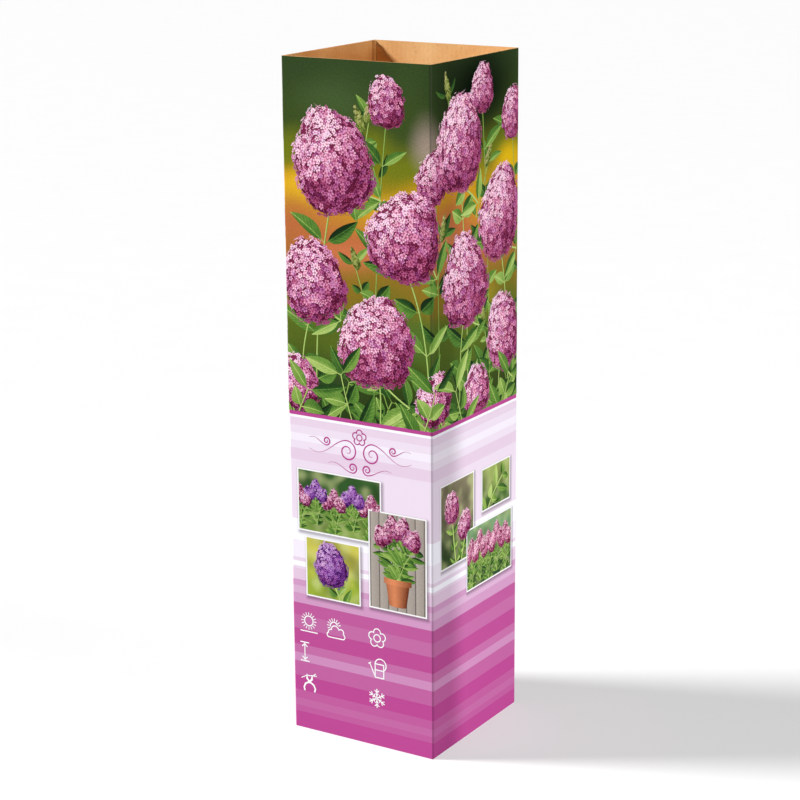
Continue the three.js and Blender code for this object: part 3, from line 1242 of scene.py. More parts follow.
wobble = head.add("FunctionNodeRandomValue", {"data_type": "FLOAT_VECTOR"}, {
    0: (-WOBBLE,) * 3, 1: (WOBBLE,) * 3, 8: seed + 3,
})
aim = head.add("ShaderNodeVectorMath", {"operation": "ADD"}, {0: normal, 1: wobble})
upright = head.add("FunctionNodeAlignRotationToVector", {"axis": "Z"}, {"Vector": aim})
spin = head.add("FunctionNodeAxisAngleToRotation", None, {
    "Angle": random_value(head, 0.0, math.tau, seed + 4),
})
turned = head.add("FunctionNodeRotateRotation", {"rotation_space": "LOCAL"}, {0: upright, 1: spin})
florets = head.add("GeometryNodeInstanceOnPoints", None, {
    0: points, "Instance": head.given.of("Geometry"), "Rotation": turned,
    "Scale": head.given.of("Floret") * random_value(head, *FLORET_SIZES, seed + 5),
})

# %% The light on the petals, and the dark core behind them
BY_DOME, BY_PETAL, BY_TIP, BY_DEPTH, TONE = 0.46, 0.26, 0.34, 0.50, 0.19  # what makes the tone
CORE_SCALE = (0.97, 0.97, 0.8)  # of the dome
CORE_LIGHT, CORE_TONE = 0.22, 0.02
florets = head.add("GeometryNodeRealizeInstances", None, {0: florets})
petal_light = daylight(head, head.add("GeometryNodeInputNormal"))
tone = (named(head, "facing") * BY_DOME + petal_light * BY_PETAL + named(head, "along") * BY_TIP
        - named(head, "sunk") * BY_DEPTH + TONE)
florets = stored(head, florets, "tone", tone)
core = head.add("GeometryNodeTransform", None, {0: dome, "Scale": CORE_SCALE})
core_light = daylight(head, head.add("GeometryNodeInputNormal"))
core = stored(head, core, "tone", core_light * CORE_LIGHT + CORE_TONE)
core = stored(head, core, "hue", head.given.of("Hue"))
head.finish(pressed_flat(head, [florets, core], PRESSED, head.given.of("Centre"), least=0.2))

# %% [markdown]
# ## Leafy stems
# Under every head goes a stem with leaves in opposite pairs, each pair at right angles to the next,
# so every second pair points towards the viewer and looks short. That rule is a few nodes: points
# along a curve, and on each a leaf to either side. The leaf itself is drawn once, as a blade
# folded a little along its midrib, with a map of its own for the veins.

# %% One leaf, one unit long
LEAF_STEPS = 9
LEAF_HALF = 0.165  # half its width, at the widest


def leaf_mesh():
    steps = np.linspace(0, 1, LEAF_STEPS + 1)
    half = LEAF_HALF * np.sin(math.pi * steps**0.8) ** 0.85 + 0.006 * (1 - steps)
    points, blade = [], []
    for share, width in zip(steps, half):
        for side in (-1, -0.5, 0, 0.5, 1):
            y = side * width
            points.append((0.1 + 0.9 * share, y, 0.55 * abs(y) - 0.16 * share**2))
            blade.append((share, y))
    faces = grid_faces(LEAF_STEPS + 1, 5).tolist()
    first = len(points)
    points += [(0, -0.011, 0), (0.12, -0.009, 0.01), (0.12, 0.009, 0.01), (0, 0.011, 0)]
    blade += [(0, 0)] * 4
    faces.append([first, first + 1, first + 2, first + 3])
    mesh = bpy.data.meshes.new("leaf")
    mesh.from_pydata(points, [], faces)
    layer = mesh.uv_layers.new(name="Blade")
    layer.uv.foreach_set("vector", np.array([blade[i] for f in faces for i in f]).ravel())
    return mesh


# %% The tree that grows a leafy stem
SWING, ROLL = 0.22, 0.7  # how far a leaf turns in the picture and about itself, in radians
LEAF_SIZES = (0.82, 1.12)  # smallest and largest, in the given length
SHORTER, WIDER = 0.42, 0.12  # of the leaves that point at the viewer
LEAF_LIGHT, LEAF_TONES = 0.75, 0.16  # share of the light in the tone, and how far leaves differ
stem = Shape("leafy stem", {
    "Start": "NodeSocketVector", "Middle": "NodeSocketVector", "End": "NodeSocketVector",
    "Pairs": "NodeSocketInt", "Leaf": "NodeSocketFloat", "Spread": "NodeSocketFloat",
    "Stalk": "NodeSocketFloat", "Layer": "NodeSocketFloat", "Tone": "NodeSocketFloat",
    "Seed": "NodeSocketInt", "Material": "NodeSocketMaterial",
})
seed = stem.given.of("Seed")
curve = stem.add("GeometryNodeCurveQuadraticBezier", None, {
    "Resolution": 16, "Start": stem.given.of("Start"), "Middle": stem.given.of("Middle"),
    "End": stem.given.of("End"),
})
knots = stem.add("GeometryNodeCurveToPoints", {"mode": "COUNT"}, {
    0: curve, "Count": stem.given.of("Pairs"),
})
ahead_x, ahead_y, _ = stem.apart(knots.of("Tangent"))
heading = ahead_y.math("ARCTAN2", ahead_x)
toward = stem.add("GeometryNodeInputIndex").math("MODULO", 2.0)  # 1 for the pairs that look short
parts = []
for side in (-1, 1):
    spread = stem.given.of("Spread") + random_value(stem, -SWING, SWING, seed + side)
    roll = random_value(stem, -ROLL, ROLL, seed + 2 + side)
    scale = stem.given.of("Leaf") * random_value(stem, *LEAF_SIZES, seed + 6 + side)
    size = stem.vector(scale * (1 - toward * SHORTER), scale * (1 + toward * WIDER), scale)
    angles = stem.vector(x=roll, z=heading + spread * side)
    differing = random_value(stem, -LEAF_TONES, LEAF_TONES, seed + 9 + side)
    leaves = stored(stem, knots, "hue", differing)
    parts.append(stem.add("GeometryNodeInstanceOnPoints", None, {
        0: leaves, "Instance": stem.given.of("Geometry"), "Rotation": angles, "Scale": size,
    }))
section = stem.add("GeometryNodeCurvePrimitiveCircle", None, {
    "Resolution": 6, "Radius": stem.given.of("Stalk"),
})
parts.append(stem.add("GeometryNodeCurveToMesh", None, {0: curve, "Profile Curve": section}))
toned = []
for part in parts:
    real = stem.add("GeometryNodeRealizeInstances", None, {0: part})
    light = daylight(stem, stem.add("GeometryNodeInputNormal"))
    tone = light * LEAF_LIGHT + named(stem, "hue") + stem.given.of("Tone")
    toned.append(stored(stem, real, "tone", tone))
stem.finish(pressed_flat(stem, toned, PRESSED / 3, stem.vector(z=stem.given.of("Layer"))))


# %% The colours of petals and leaves
def petal_print():
    """Pink florets, then violet ones and green buds as the hue rises. The dark end of each is
    the depth of the head."""
    finish = printed("printed petals")
    tone, hue = finish.value_of("tone"), finish.value_of("hue")
    pink = finish.ramp(tone, [
        (0.0, ink(76, 16, 40)), (0.22, ink(124, 40, 70)), (0.45, ink(172, 78, 122)),
        (0.66, ink(208, 120, 158)), (0.84, ink(238, 170, 199)), (1.0, ink(254, 218, 232)),
    ])
    violet = finish.ramp(tone, [
        (0.0, ink(44, 16, 66)), (0.3, ink(92, 38, 124)), (0.6, ink(142, 78, 172)),
        (0.85, ink(184, 130, 206)), (1.0, ink(214, 176, 228)),
    ])
    green = finish.ramp(tone, [
        (0.0, ink(48, 60, 26)), (0.4, ink(104, 122, 48)), (0.75, ink(160, 172, 84)),
        (1.0, ink(206, 190, 140)),
    ])
    flowers = finish.blend(finish.smooth(hue, 0.12, 1.1), pink, violet)
    return finish.wear(finish.blend(finish.smooth(hue, 1.4, 1.8), flowers, green))


VEINS, VEIN_SLANT = 8.5, 1.6  # side veins on a leaf, and how far each runs forward


def leaf_print():
    """Leaves with a pale midrib and side veins, drawn on the blade's own map."""
    finish = printed("printed leaves")
    share, side, _ = finish.apart(finish.add("ShaderNodeUVMap", {"uv_map": "Blade"}))
    side = side.math("ABSOLUTE")
    midrib = finish.smooth(side, 0.014, 0.004)
    veins = ((share - side * VEIN_SLANT) * VEINS).math("PINGPONG", 0.5)
    veins = finish.smooth(veins, 0.12, 0.0) * 0.35
    mottle = finish.noise(finish.place(), 0.35, detail=3) - 0.5
    tone = finish.value_of("tone") + midrib * 0.3 + veins * 0.5 + mottle * 0.22
    green = finish.ramp(tone, [
        (0.0, ink(22, 42, 22)), (0.3, ink(48, 84, 36)), (0.55, ink(84, 126, 50)),
        (0.8, ink(132, 164, 76)), (1.0, ink(178, 200, 116)),
    ])
    return finish.wear(green)


PETALS_INK, LEAVES_INK = petal_print(), leaf_print()


# %% Growing heads and stems
PLAIN_BELOW = 2.5  # width of a floret
LEAF_SPREAD = 0.95  # angle between a stem and its leaves, in radians


def grow_head(across, down, wide, tall, lean, layer, floret, spacing, hue=0.3, seed=1, taper=0.2):
    """A head about a place across and down. Small florets get plainer petals."""
    outline = PETAL if floret > PLAIN_BELOW else PLAIN_PETAL
    return head.make(
        show("floret", floret_mesh(outline)), Centre=Vector((across, HEIGHT - down, layer)) * MM,
        Size=Vector((wide, tall, wide)) * MM, Lean=math.radians(-lean), Floret=floret * MM,
        Spacing=spacing * MM, Taper=taper, Hue=hue, Seed=seed, Material=PETALS_INK,
    )


def grow_stem(start, middle, end, pairs, leaf, stalk=0.6, layer=0.02, tone=0.12, seed=1):
    """A stem through three places on the print, each the distance across and down."""
    places = [Vector((across, HEIGHT - down, 0)) * MM for across, down in (start, middle, end)]
    return stem.make(
        show("leaf", leaf_mesh()), Start=places[0], Middle=places[1], End=places[2], Pairs=pairs,
        Leaf=leaf * MM, Spread=LEAF_SPREAD, Stalk=stalk * MM, Layer=layer * MM, Tone=tone,
        Seed=seed, Material=LEAVES_INK,
    )


# %% The picture: flower heads and what they stand on
HEADS = [  # centre across and down, half width, half height, lean in degrees
    (155, 18, 12, 14, 8), (70, 22, 12, 15, -9), (103, 62, 13, 16, 4), (190, 36, 12, 16, 10),
    (33, 57, 26, 31, -14), (130, 46, 24, 29, 9), (82, 97, 24, 27, 22), (19, 128, 21, 25, -16),
    (176, 92, 23, 28, 14), (135, 126, 24, 28, -10), (62, 160, 25, 27, 6), (180, 164, 19, 24, -12),
    (7, 190, 14, 17, -12), (104, 190, 15, 16, 7), (148, 194, 15, 15, -6),
]
FAR_HEADS = 4  # the first few stand further back: smaller florets and leaves, less light
FAR_FLORETS, NEAR_FLORETS = {"floret": 2.6, "spacing": 1.5}, {"floret": 3.6, "spacing": 1.9}
FAR_LEAVES = {"leaf": 22, "stalk": 0.35, "tone": -0.1}
NEAR_LEAVES = {"leaf": 28, "stalk": 0.5, "tone": 0.04}
PAIR_PITCH = 24  # between two pairs of leaves on a stem
FOOT_SHIFT = 0.35  # how far aside a bent stem starts, where a straight one would take 1.0
flowers, foliage = [], []
for i, (across, down, wide, tall, lean) in enumerate(HEADS):
    far = i < FAR_HEADS
    flowers.append(grow_head(
        across, down, wide, tall, lean, layer=0.05 + 0.004 * i, seed=11 + 7 * i,
        **(FAR_FLORETS if far else NEAR_FLORETS),
    ))
    foot = across + FOOT_SHIFT * (down - PICTURE) * math.sin(math.radians(lean)) * -1
    foliage.append(grow_stem(
        (foot, PICTURE + 6), ((foot + across) / 2 + lean * 0.5, (down + PICTURE) / 2),
        (across, down + tall * 0.7), pairs=max(2, round((PICTURE - down) / PAIR_PITCH)),
        layer=0.012 + 0.002 * i, seed=3 + 5 * i, **(FAR_LEAVES if far else NEAR_LEAVES),
    ))
SPRIGS = [  # start, middle and end, across and down, then pairs and leaf length
    ((66, 78), (56, 74), (48, 78), 2, 22), ((104, 120), (98, 112), (96, 104), 2, 24),
    ((150, 84), (144, 78), (136, 74), 2, 24), ((38, 150), (30, 146), (24, 142), 2, 22),
    ((152, 156), (144, 154), (138, 148), 2, 24), ((196, 118), (188, 116), (182, 114), 2, 22),
    ((84, 196), (76, 192), (66, 184), 2, 24), ((192, 196), (186, 192), (180, 184), 2, 22),
]
for i, sprig in enumerate(SPRIGS):
    foliage.append(grow_stem(*sprig, layer=0.03 + 0.002 * i, seed=90 + 3 * i))
print(len(flowers), "heads,", len(foliage), "stems")

# %% Undergrowth, buds, and the cut at the edge of the picture
UNDERGROWTH = 14  # stems along the foot of the picture
for i in range(UNDERGROWTH):
    across, lean = 4 + 14.5 * i, (-1) ** i * 5
    near = i % 3 == 0
    foliage.append(grow_stem(
        (across, PICTURE + 8), (across + lean, PICTURE - 4),
        (across + 2 * lean, PICTURE - 14 - i % 4 * 4), 3, 26 if near else 22, stalk=0.4,
        layer=0.2 if near else 0.008, tone=0.1 if near else -0.12, seed=140 + 11 * i,
    ))
BUD_HUE = 2.2  # green, on the petals' scale of hues
BUDS = [  # as the heads
    (52, 32, 2.6, 8, -24), (59, 27, 2.4, 8, 12), (116, 14, 2.6, 8, -16), (162, 58, 2.4, 7, 28),
    (48, 112, 2.4, 7, -20), (111, 92, 2.6, 8, 14), (156, 148, 2.4, 7, -18),
]
for i, (across, down, wide, tall, lean) in enumerate(BUDS):
    flowers.append(grow_head(across, down, wide, tall, lean, layer=0.05, floret=1.5, spacing=0.8,
                             hue=BUD_HUE, seed=801 + 9 * i, taper=0.45))
    drift = math.tan(math.radians(lean))
    foliage.append(grow_stem(
        (across - 26 * drift, down + 34), (across - 14 * drift, down + 20),
        (across, down + tall * 0.6), 3, 15, stalk=0.35, layer=0.01, tone=-0.02, seed=860 + 9 * i,
    ))
RIM_PLAY = 0.001  # keeps the cut-outs off the board's cut edge
frame_of_picture = (0.0, 2 * FACE, picture_foot, HEIGHT - RIM_PLAY)
flowers = [cut(mesh, inside=frame_of_picture) for mesh in flowers]
foliage = [cut(mesh, inside=frame_of_picture) for mesh in foliage]
print(sum(len(m.polygons) for m in flowers), "petal faces,",
      sum(len(m.polygons) for m in foliage), "leaf faces in the picture")

# %% [markdown]
# ## The small pictures
# Six small pictures with white edges are pasted over the stripes, some over another's corner. Each
# is a white card, a backdrop out of focus, and plants from the same two trees as the large
# picture, only smaller, and cut off at the edge of the card. One shader paints all the
# backdrops: it reads the near and the far colour from the mesh, so six backdrops need one
# material.

# %% Cards and their backdrops
CARD_EDGE = 0.9  # white border
CARD_LIFT = 0.03  # of a card above the paper
OVER = 0.06  # how much higher a card lies that covers another's corner


def printed_ink(name, colour):
    """One plain ink, with the faint mottle of paper under it."""
    finish = printed(name)
    mottle = finish.smooth(finish.noise(finish.place(), PAPER_GRAIN, detail=3), 0.2, 0.8)
    colour = finish.blend(mottle, ink(*(0.975 * c for c in colour)), ink(*colour))
    # with painted shade beside the front corner
    return finish.wear(painted_corner_shade(finish, colour))


def backdrop_print():
    """A near colour below and a far one above, blurred into each other, with soft spots."""
    finish = printed("printed backdrop")
    near, far = (
        finish.add("ShaderNodeAttribute", {"attribute_name": name}).of("Color")
        for name in ("near", "far")
    )
    where = finish.place()
    _, up = finish.on_map("View")
    drift = finish.noise(where, 0.11, detail=2) - 0.5
    colour = finish.blend(finish.smooth(up + drift * 0.9, 0.2, 0.75), near, far)
    spots = finish.smooth(finish.noise(where, 0.12, detail=0), 0.35, 0.85) * 0.45
    colour = finish.blend(spots, colour, ink(206, 214, 150))
    dark = finish.smooth(finish.noise(where, 0.09, detail=0), 0.65, 0.15) * 0.5
    # with painted shade beside the front corner
    return finish.wear(painted_corner_shade(finish, finish.blend(dark, colour, ink(26, 40, 22))))


WHITE_INK = printed_ink("white ink", (243, 242, 243))
BACKDROP_INK = backdrop_print()


def flat_mesh(name, points, faces, layer, material, maps=None, colours=None):
    """A flat mesh on the print, from points across and down."""
    mesh = new_mesh(name, [material])
    mesh.from_pydata([(x * MM, (HEIGHT - y) * MM, layer * MM) for x, y in points], [], faces)
    for map_name, places in (maps or {}).items():
        corners = [places[i] for face in mesh.polygons for i in face.vertices]
        mesh.uv_layers.new(name=map_name).uv.foreach_set("vector", np.ravel(corners))
    for colour_name, colour in (colours or {}).items():
        attribute = mesh.color_attributes.new(colour_name, "FLOAT_COLOR", "CORNER")
        attribute.data.foreach_set("color", np.tile(colour, len(mesh.loops)))
    return mesh


def rectangle(left, right, top, bottom):
    return [(left, bottom), (right, bottom), (right, top), (left, top)]


def inside_edge(name):
    """Where a small picture's white edge ends: left and right, top and bottom."""
    return np.array(INSETS[name], float) + CARD_EDGE * np.array([1, -1, 1, -1])


def card(name, near, far, layer):
    """The white card and the backdrop of one small picture."""
    view = [(0, 0), (MM, 0), (MM, MM), (0, MM)]
    return [
        flat_mesh(name, rectangle(*INSETS[name]), [(0, 1, 2, 3)], layer, WHITE_INK),
        flat_mesh(name, rectangle(*inside_edge(name)), [(0, 1, 2, 3)], layer + 0.01, BACKDROP_INK,
                  {"View": view}, {"near": ink(*near), "far": ink(*far)}),
    ]


# %% Clay for the potted plant, and planks behind it
def shaded_print(name, dark, light):
    """A colour that follows the mesh's own tone."""
    finish = printed(name)
    mottle = finish.noise(finish.place(), 0.8, detail=3) - 0.5
    tone = finish.value_of("tone") + mottle * 0.3
    return finish.wear(finish.ramp(tone, [(0.0, ink(*dark)), (1.0, ink(*light))]))


CLAY_INK = shaded_print("printed clay", (104, 50, 30), (222, 140, 96))
PLANK_INK = shaded_print("printed planks", (92, 84, 80), (186, 176, 166))


def toned_strips(name, lines, tones, layer, material):
    """A row of strips between lines of points across and down, each line with its own tone."""
    points = [point for line in lines for point in line]
    count = len(lines[0])
    faces = grid_faces(len(lines), count).tolist()
    mesh = flat_mesh(name, points, faces, layer, material)
    values = np.repeat(tones, count)
    mesh.attributes.new("tone", "FLOAT", "POINT").data.foreach_set("value", values)
    return mesh


POT_SAG = 0.7  # how far the rim and the foot bow down in the middle


def clay_pot(middle, rim, foot, wide, layer):
    """A flower pot between two depths on the print, lit from the left."""
    shares = np.linspace(-1, 1, 9)
    tones = 0.85 - 0.65 * np.abs(shares + 0.35)  # brightest a little to the left

    def strips(name, ends, lift, lighter):
        """Strips between two ends, each given by its share of the width and its depth."""
        lines = [[(middle + wide * share * scale, down + POT_SAG * math.sqrt(1 - share**2))
                  for scale, down in ends] for share in shares]
        return toned_strips(name, lines, tones + lighter, layer + lift, CLAY_INK)

    return [strips("clay pot", ((0.86, rim + 3.2), (0.62, foot)), 0.0, 0.0),
            strips("pot rim", ((1.0, rim), (1.0, rim + 3.6)), 0.004, 0.12)]


PLANK = 6.2  # width of one board
PLANK_TONES = ((0.0, 0.0), (0.5, 0.1), (0.9, 0.75), (PLANK, 0.55))  # places across it and tones


def planks(name, layer):
    """Upright boards behind a plant, with a dark gap between each two."""
    left, right, top, bottom = inside_edge(name)
    lines, tones = [], []
    for start in np.arange(left, right, PLANK):
        for off, tone in PLANK_TONES:
            x = min(start + off, right)
            lines.append([(x, top), (x, bottom)])
            tones.append(tone)
    return [toned_strips("planks", lines, tones, layer, PLANK_INK)]


# %% A small flowering shrub
ROUNDING = 0.32  # how much lower than the middle the outermost stems are
LOWER_STEM = 0.9  # height of every other stem, as a share
HIGH_HEAD, LOW_HEAD = 0.2, 0.17  # half a head's height, as a share of the shrub's
HEAD_WIDTH = 0.72  # to its height
HEAD_LEAN = 14  # degrees, at the outermost stems


def bush(across, foot, tall, wide, layer, seed, hue=0.3, heads=5, leaf=7.0, floret=1.5, pairs=5):
    """Stems that fan out from one foot, each with a head. The middle ones are the tallest."""
    flowers, leaves = [], []
    for k in range(heads):
        share = (k + 0.5) / heads * 2 - 1
        crown = foot - tall * (1 - ROUNDING * share**2) * (LOWER_STEM if k % 2 else 1.0)
        top = across + wide * share
        size = tall * (LOW_HEAD if k % 2 else HIGH_HEAD)
        leaves.append(grow_stem(
            (across + share, foot), (across + share * wide * 0.4, (foot + crown) / 2),
            (top, crown + size), pairs=pairs, leaf=leaf, stalk=0.22, layer=layer + 0.002 * k,
            tone=0.02, seed=seed + 5 * k,
        ))
        flowers.append(grow_head(
            top, crown, size * HEAD_WIDTH, size, lean=HEAD_LEAN * share,
            layer=layer + 0.02 + 0.002 * k, floret=floret, spacing=floret * 0.62, hue=hue,
            seed=seed + 3 * k, taper=0.35,
        ))
    return flowers, leaves


# %% What each small picture shows
def small_pictures():
    """The cards, and the flowers and leaves on them, cut off at the edge of their card."""
    cards, flowers, leaves = [], [], []

    def add(name, made):
        left, right, top, bottom = inside_edge(name)
        window = (left, right, HEIGHT - bottom, HEIGHT - top)
        for target, meshes in zip((flowers, leaves), made):
            target.extend(cut(mesh, inside=window) for mesh in meshes)

    low, high = CARD_LIFT, CARD_LIFT + OVER
    cards += card("bed", (122, 150, 70), (52, 88, 44), low)
    for k, across in enumerate((6, 18, 31, 44, 57)):
        layer, hue = low + 0.012 + 0.004 * k, 1.0 if k % 2 else 0.3
        add("bed", bush(across, 281 - k % 2 * 4, 24, 6.5, layer, 201 + 31 * k, hue=hue, leaf=6.5))
    cards += card("bloom", (150, 170, 60), (196, 190, 84), low)
    add("bloom", (
        [grow_head(28, 301, 11.5, 14, -10, low + 0.05, 2.4, 1.3, hue=0.9, seed=401)],
        [grow_stem((37, 327), (33, 319), (30, 312), 3, 15, layer=low + 0.02, seed=402)],
    ))
    cards += card("sprig", (70, 104, 50), (150, 166, 92), low)
    add("sprig", (
        [], [grow_stem((161, 274), (168, 263), (180, 255), 4, 16, layer=low + 0.02, tone=0.2,
                       seed=412)],
    ))
    cards += card("pair", (60, 84, 46), (128, 120, 96), low)
    add("pair", (
        [grow_head(120, 259, 8.0, 10.0, -12, low + 0.04, 2.0, 1.1, seed=421),
         grow_head(135, 273, 7.5, 9.5, 14, low + 0.05, 2.0, 1.1, seed=424)],
        [grow_stem((125, 294), (122, 281), (121, 267), 4, 10, layer=low + 0.012, seed=431),
         grow_stem((131, 294), (134, 287), (135, 280), 3, 10, layer=low + 0.016, seed=437)],
    ))
    cards += card("pot", (120, 112, 104), (150, 142, 134), high)
    cards += planks("pot", high + 0.012) + clay_pot(75, 301, 318, 9.5, high + 0.045)
    add("pot", bush(75, 302, 34, 13.0, high + 0.016, 501, heads=7, leaf=11, floret=1.8, pairs=6))
    cards += card("hedge", (46, 74, 44), (120, 156, 112), high)
    for k, across in enumerate((143, 153, 163, 173, 184)):
        layer, foot = high + 0.012 + 0.004 * k, 317 - k % 2 * 3
        add("hedge", bush(across, foot, 27, 6.0, layer, 601 + 37 * k, hue=0.15, leaf=6, floret=1.4))
    return cards, flowers, leaves


small_cards, small_flowers, small_leaves = small_pictures()
print(len(small_cards), "card meshes,", sum(len(m.polygons) for m in small_flowers), "petal faces")

# %% [markdown]
# ## Care signs and a flourish
# The lower stripes carry white line signs of the kind found on any plant label: sun, half shade,
# flower, height, watering, pruning and frost. Above the small pictures runs a thin flourish. All
# of them are strokes, so one function turns a line of points into a ribbon with mitred joints.
# Curves with a bevel would do it too, but a ribbon is flat from the start and folds with the
# sheet.

# %% Strokes
STROKE = 0.72  # width of a sign's line
STROKE_LIFT, STROKE_LEVELS = 0.003, 8  # between two levels, and how many there are


def ribbon(line, width=STROKE, closed=False):
    """Points and faces of a stroke along a line. The width may differ from point to point."""
    line = np.array(line, float)
    ahead = np.roll(line, -1, 0) - line
    if not closed:
        ahead[-1] = ahead[-2]
    ahead /= np.linalg.norm(ahead, axis=1, keepdims=True)
    behind = np.roll(ahead, 1, 0)
    if not closed:
        behind[0] = ahead[0]
    mean = ahead + behind
    mitre = mean / (1 + (ahead * behind).sum(1, keepdims=True)).clip(0.3)
    side = np.stack([-mitre[:, 1], mitre[:, 0]], 1) * np.reshape(width, (-1, 1)) / 2
    points = np.concatenate([line - side, line + side])
    n = len(line)
    at = np.arange(n if closed else n - 1)
    after = (at + 1) % n
    return points.tolist(), np.stack([at, after, after + n, at + n], 1).tolist()


def arc(x, y, radius, start=0.0, end=360.0, steps=24):
    """Points on an arc, with angles in degrees, clockwise from the right."""
    turns = np.radians(np.linspace(start, end, steps + 1))
    return np.stack([x + radius * np.cos(turns), y + radius * np.sin(turns)], 1)


def strokes(name, drawn, layer, material):
    """Flat meshes from strokes. Strokes that cross lie on different levels."""
    return [flat_mesh(name, points, faces, layer + STROKE_LIFT * (i % STROKE_LEVELS), material)
            for i, (points, faces) in enumerate(drawn)]


# %% The signs, each about a middle that is given across and down
def ring(x, y, radius, width=STROKE):
    return ribbon(arc(x, y, radius)[:-1], width, closed=True)


def sun(x, y, radius, rays, start=0.0, end=360.0, gap=0.55, length=1.9):
    """Rays round a sun that stands `gap` inside them."""
    turns = np.radians(np.linspace(start, end, rays, endpoint=end - start < 359))
    out = np.stack([np.cos(turns), np.sin(turns)], 1)
    inner, outer = radius + gap, radius + gap + length
    return [ribbon(np.array([(x, y)]) + np.array([[inner], [outer]]) * way, 0.55) for way in out]


def lobed(x, y, lobes, base=99.0, steps=90):
    """The outline round overlapping circles, each given by its middle and radius from x, y. It is
    cut off flat below `base`."""
    turns = np.linspace(0, math.tau, steps, endpoint=False)
    way = np.stack([np.cos(turns), np.sin(turns)], 1)
    middles, radii = np.array(lobes)[:, :2], np.array(lobes)[:, 2]
    along = way @ middles.T
    inside = along**2 - (middles**2).sum(1) + radii**2
    reach = np.where(inside > 0, along + np.sqrt(np.maximum(inside, 0)), 0).max(1)
    reach = np.minimum(reach, base / np.maximum(way[:, 1], 1e-6))
    return way * reach[:, None] + (x, y)


def full_sun(x, y):
    ground = ribbon([(x - 6.3, y + 6.9), (x + 6.3, y + 6.9)])
    return [ring(x, y, 3.1), *sun(x, y, 3.1, rays=16), ground]


def half_shade(x, y):
    puffs = [  # middle and radius
        (-0.5, -2.0, 2.7), (-3.7, -0.4, 1.6), (-4.7, 1.5, 1.6), (3.7, -1.3, 1.9),
        (4.6, 1.3, 1.8), (-2.8, 1.2, 2.2), (0.0, 1.2, 2.4), (2.8, 1.2, 2.2),
    ]
    cloud = lobed(x, y + 3.1, puffs, base=3.0, steps=120)
    behind = (x - 1.2, y - 1.3, 2.6)
    return [ribbon(cloud, closed=True), ribbon(arc(*behind, 165, 340, 16)),
            *sun(*behind, rays=9, start=158, end=345)]


def blossom(x, y, size=1.0):
    turns = np.radians(72 * np.arange(5) - 90)
    petals = [(3.6 * size * math.cos(a), 3.6 * size * math.sin(a), 2.4 * size) for a in turns]
    return [ribbon(lobed(x, y, petals, steps=120), closed=True), ring(x, y, 2.3 * size)]


def height(x, y, reach=5.2):
    drawn = [ribbon([(x, y - reach), (x, y + reach)])]
    for side in (-1, 1):
        end = y + side * reach
        drawn.append(ribbon([(x - 1.9, end - side * 2.0), (x, end), (x + 1.9, end - side * 2.0)]))
        drawn.append(ribbon([(x - 3.2, end + side * 0.8), (x + 3.2, end + side * 0.8)]))
    return drawn


def watering(x, y):
    body = [(x - 2.2, y - 2.6), (x + 3.8, y - 2.6), (x + 3.8, y + 6.0), (x - 2.2, y + 6.0)]
    level = [(x - 2.2, y + 1.2), (x + 3.8, y + 1.2)]
    spout = [(x - 6.0, y - 2.4), (x - 2.4, y + 5.2)]
    rose = [(x - 6.9, y - 1.8), (x - 5.1, y - 3.0)]
    return [ribbon(body, closed=True), ribbon(level), ribbon(spout), ribbon(rose),
            ribbon(arc(x + 1.6, y - 2.2, 3.9, 186, 410, 20))]


def pruning(x, y):
    drawn = [ring(x, y - 0.4, 0.9, 0.5)]
    for side in (-1, 1):
        grip = [(x, y - 0.4), (x + side * 3.0, y + 1.3), (x + side * 4.1, y + 3.7),
                (x + side * 3.5, y + 5.9)]
        blade = [(x, y - 0.4), (x - side * 1.8, y - 2.3), (x - side * 1.9, y - 5.3)]
        drawn += [ribbon(grip, 1.1), ribbon(blade, [0.9, 1.4, 0.3])]
    twig = [(x - 6.0, y - 2.0), (x - 2.0, y - 4.2), (x + 5.4, y - 5.0)]
    return drawn + [ribbon(twig, 0.6), ribbon([(x + 2.6, y - 4.7), (x + 4.6, y - 6.4)], 0.6)]


def frost(x, y, reach=6.1):
    drawn, middle = [], np.array([x, y])
    for turn in np.radians(60 * np.arange(6) + 30):
        out = np.array([math.cos(turn), math.sin(turn)])
        side = np.array([-out[1], out[0]])
        drawn.append(ribbon([middle + out * 0.3, middle + out * reach]))
        for start, length in ((1.8, 1.2), (3.6, 1.6)):
            knee = middle + out * start
            tips = [knee + (out + way * side) * length for way in (1, -1)]
            drawn.append(ribbon([tips[0], knee, tips[1]], 0.58))
    return drawn


# %% The flourish: mirrored scrolls, each a spiral that opens into a long wave
def scroll(x, y, radius, length, side, flip):
    """A stroke that starts thin in a curl about x, y and runs out sideways."""
    turns = np.linspace(3.2 * math.pi, 0, 60)
    reach = radius * (1 - 0.9 * turns / turns[0])
    curl = np.stack([-reach * np.sin(turns), -reach * np.cos(turns)], 1)
    share = np.linspace(0, 1, 36)[1:]
    fall = radius * 1.5 * np.sin(0.64 * math.pi * share) ** 2
    tail = np.stack([length * share, fall - radius], 1)
    line = np.concatenate([curl, tail]) * (side, flip) + (x, y)
    swell = np.sin(math.pi * np.linspace(0, 1, len(line)) ** 0.8) ** 2
    return ribbon(line, 0.2 + 0.75 * swell)


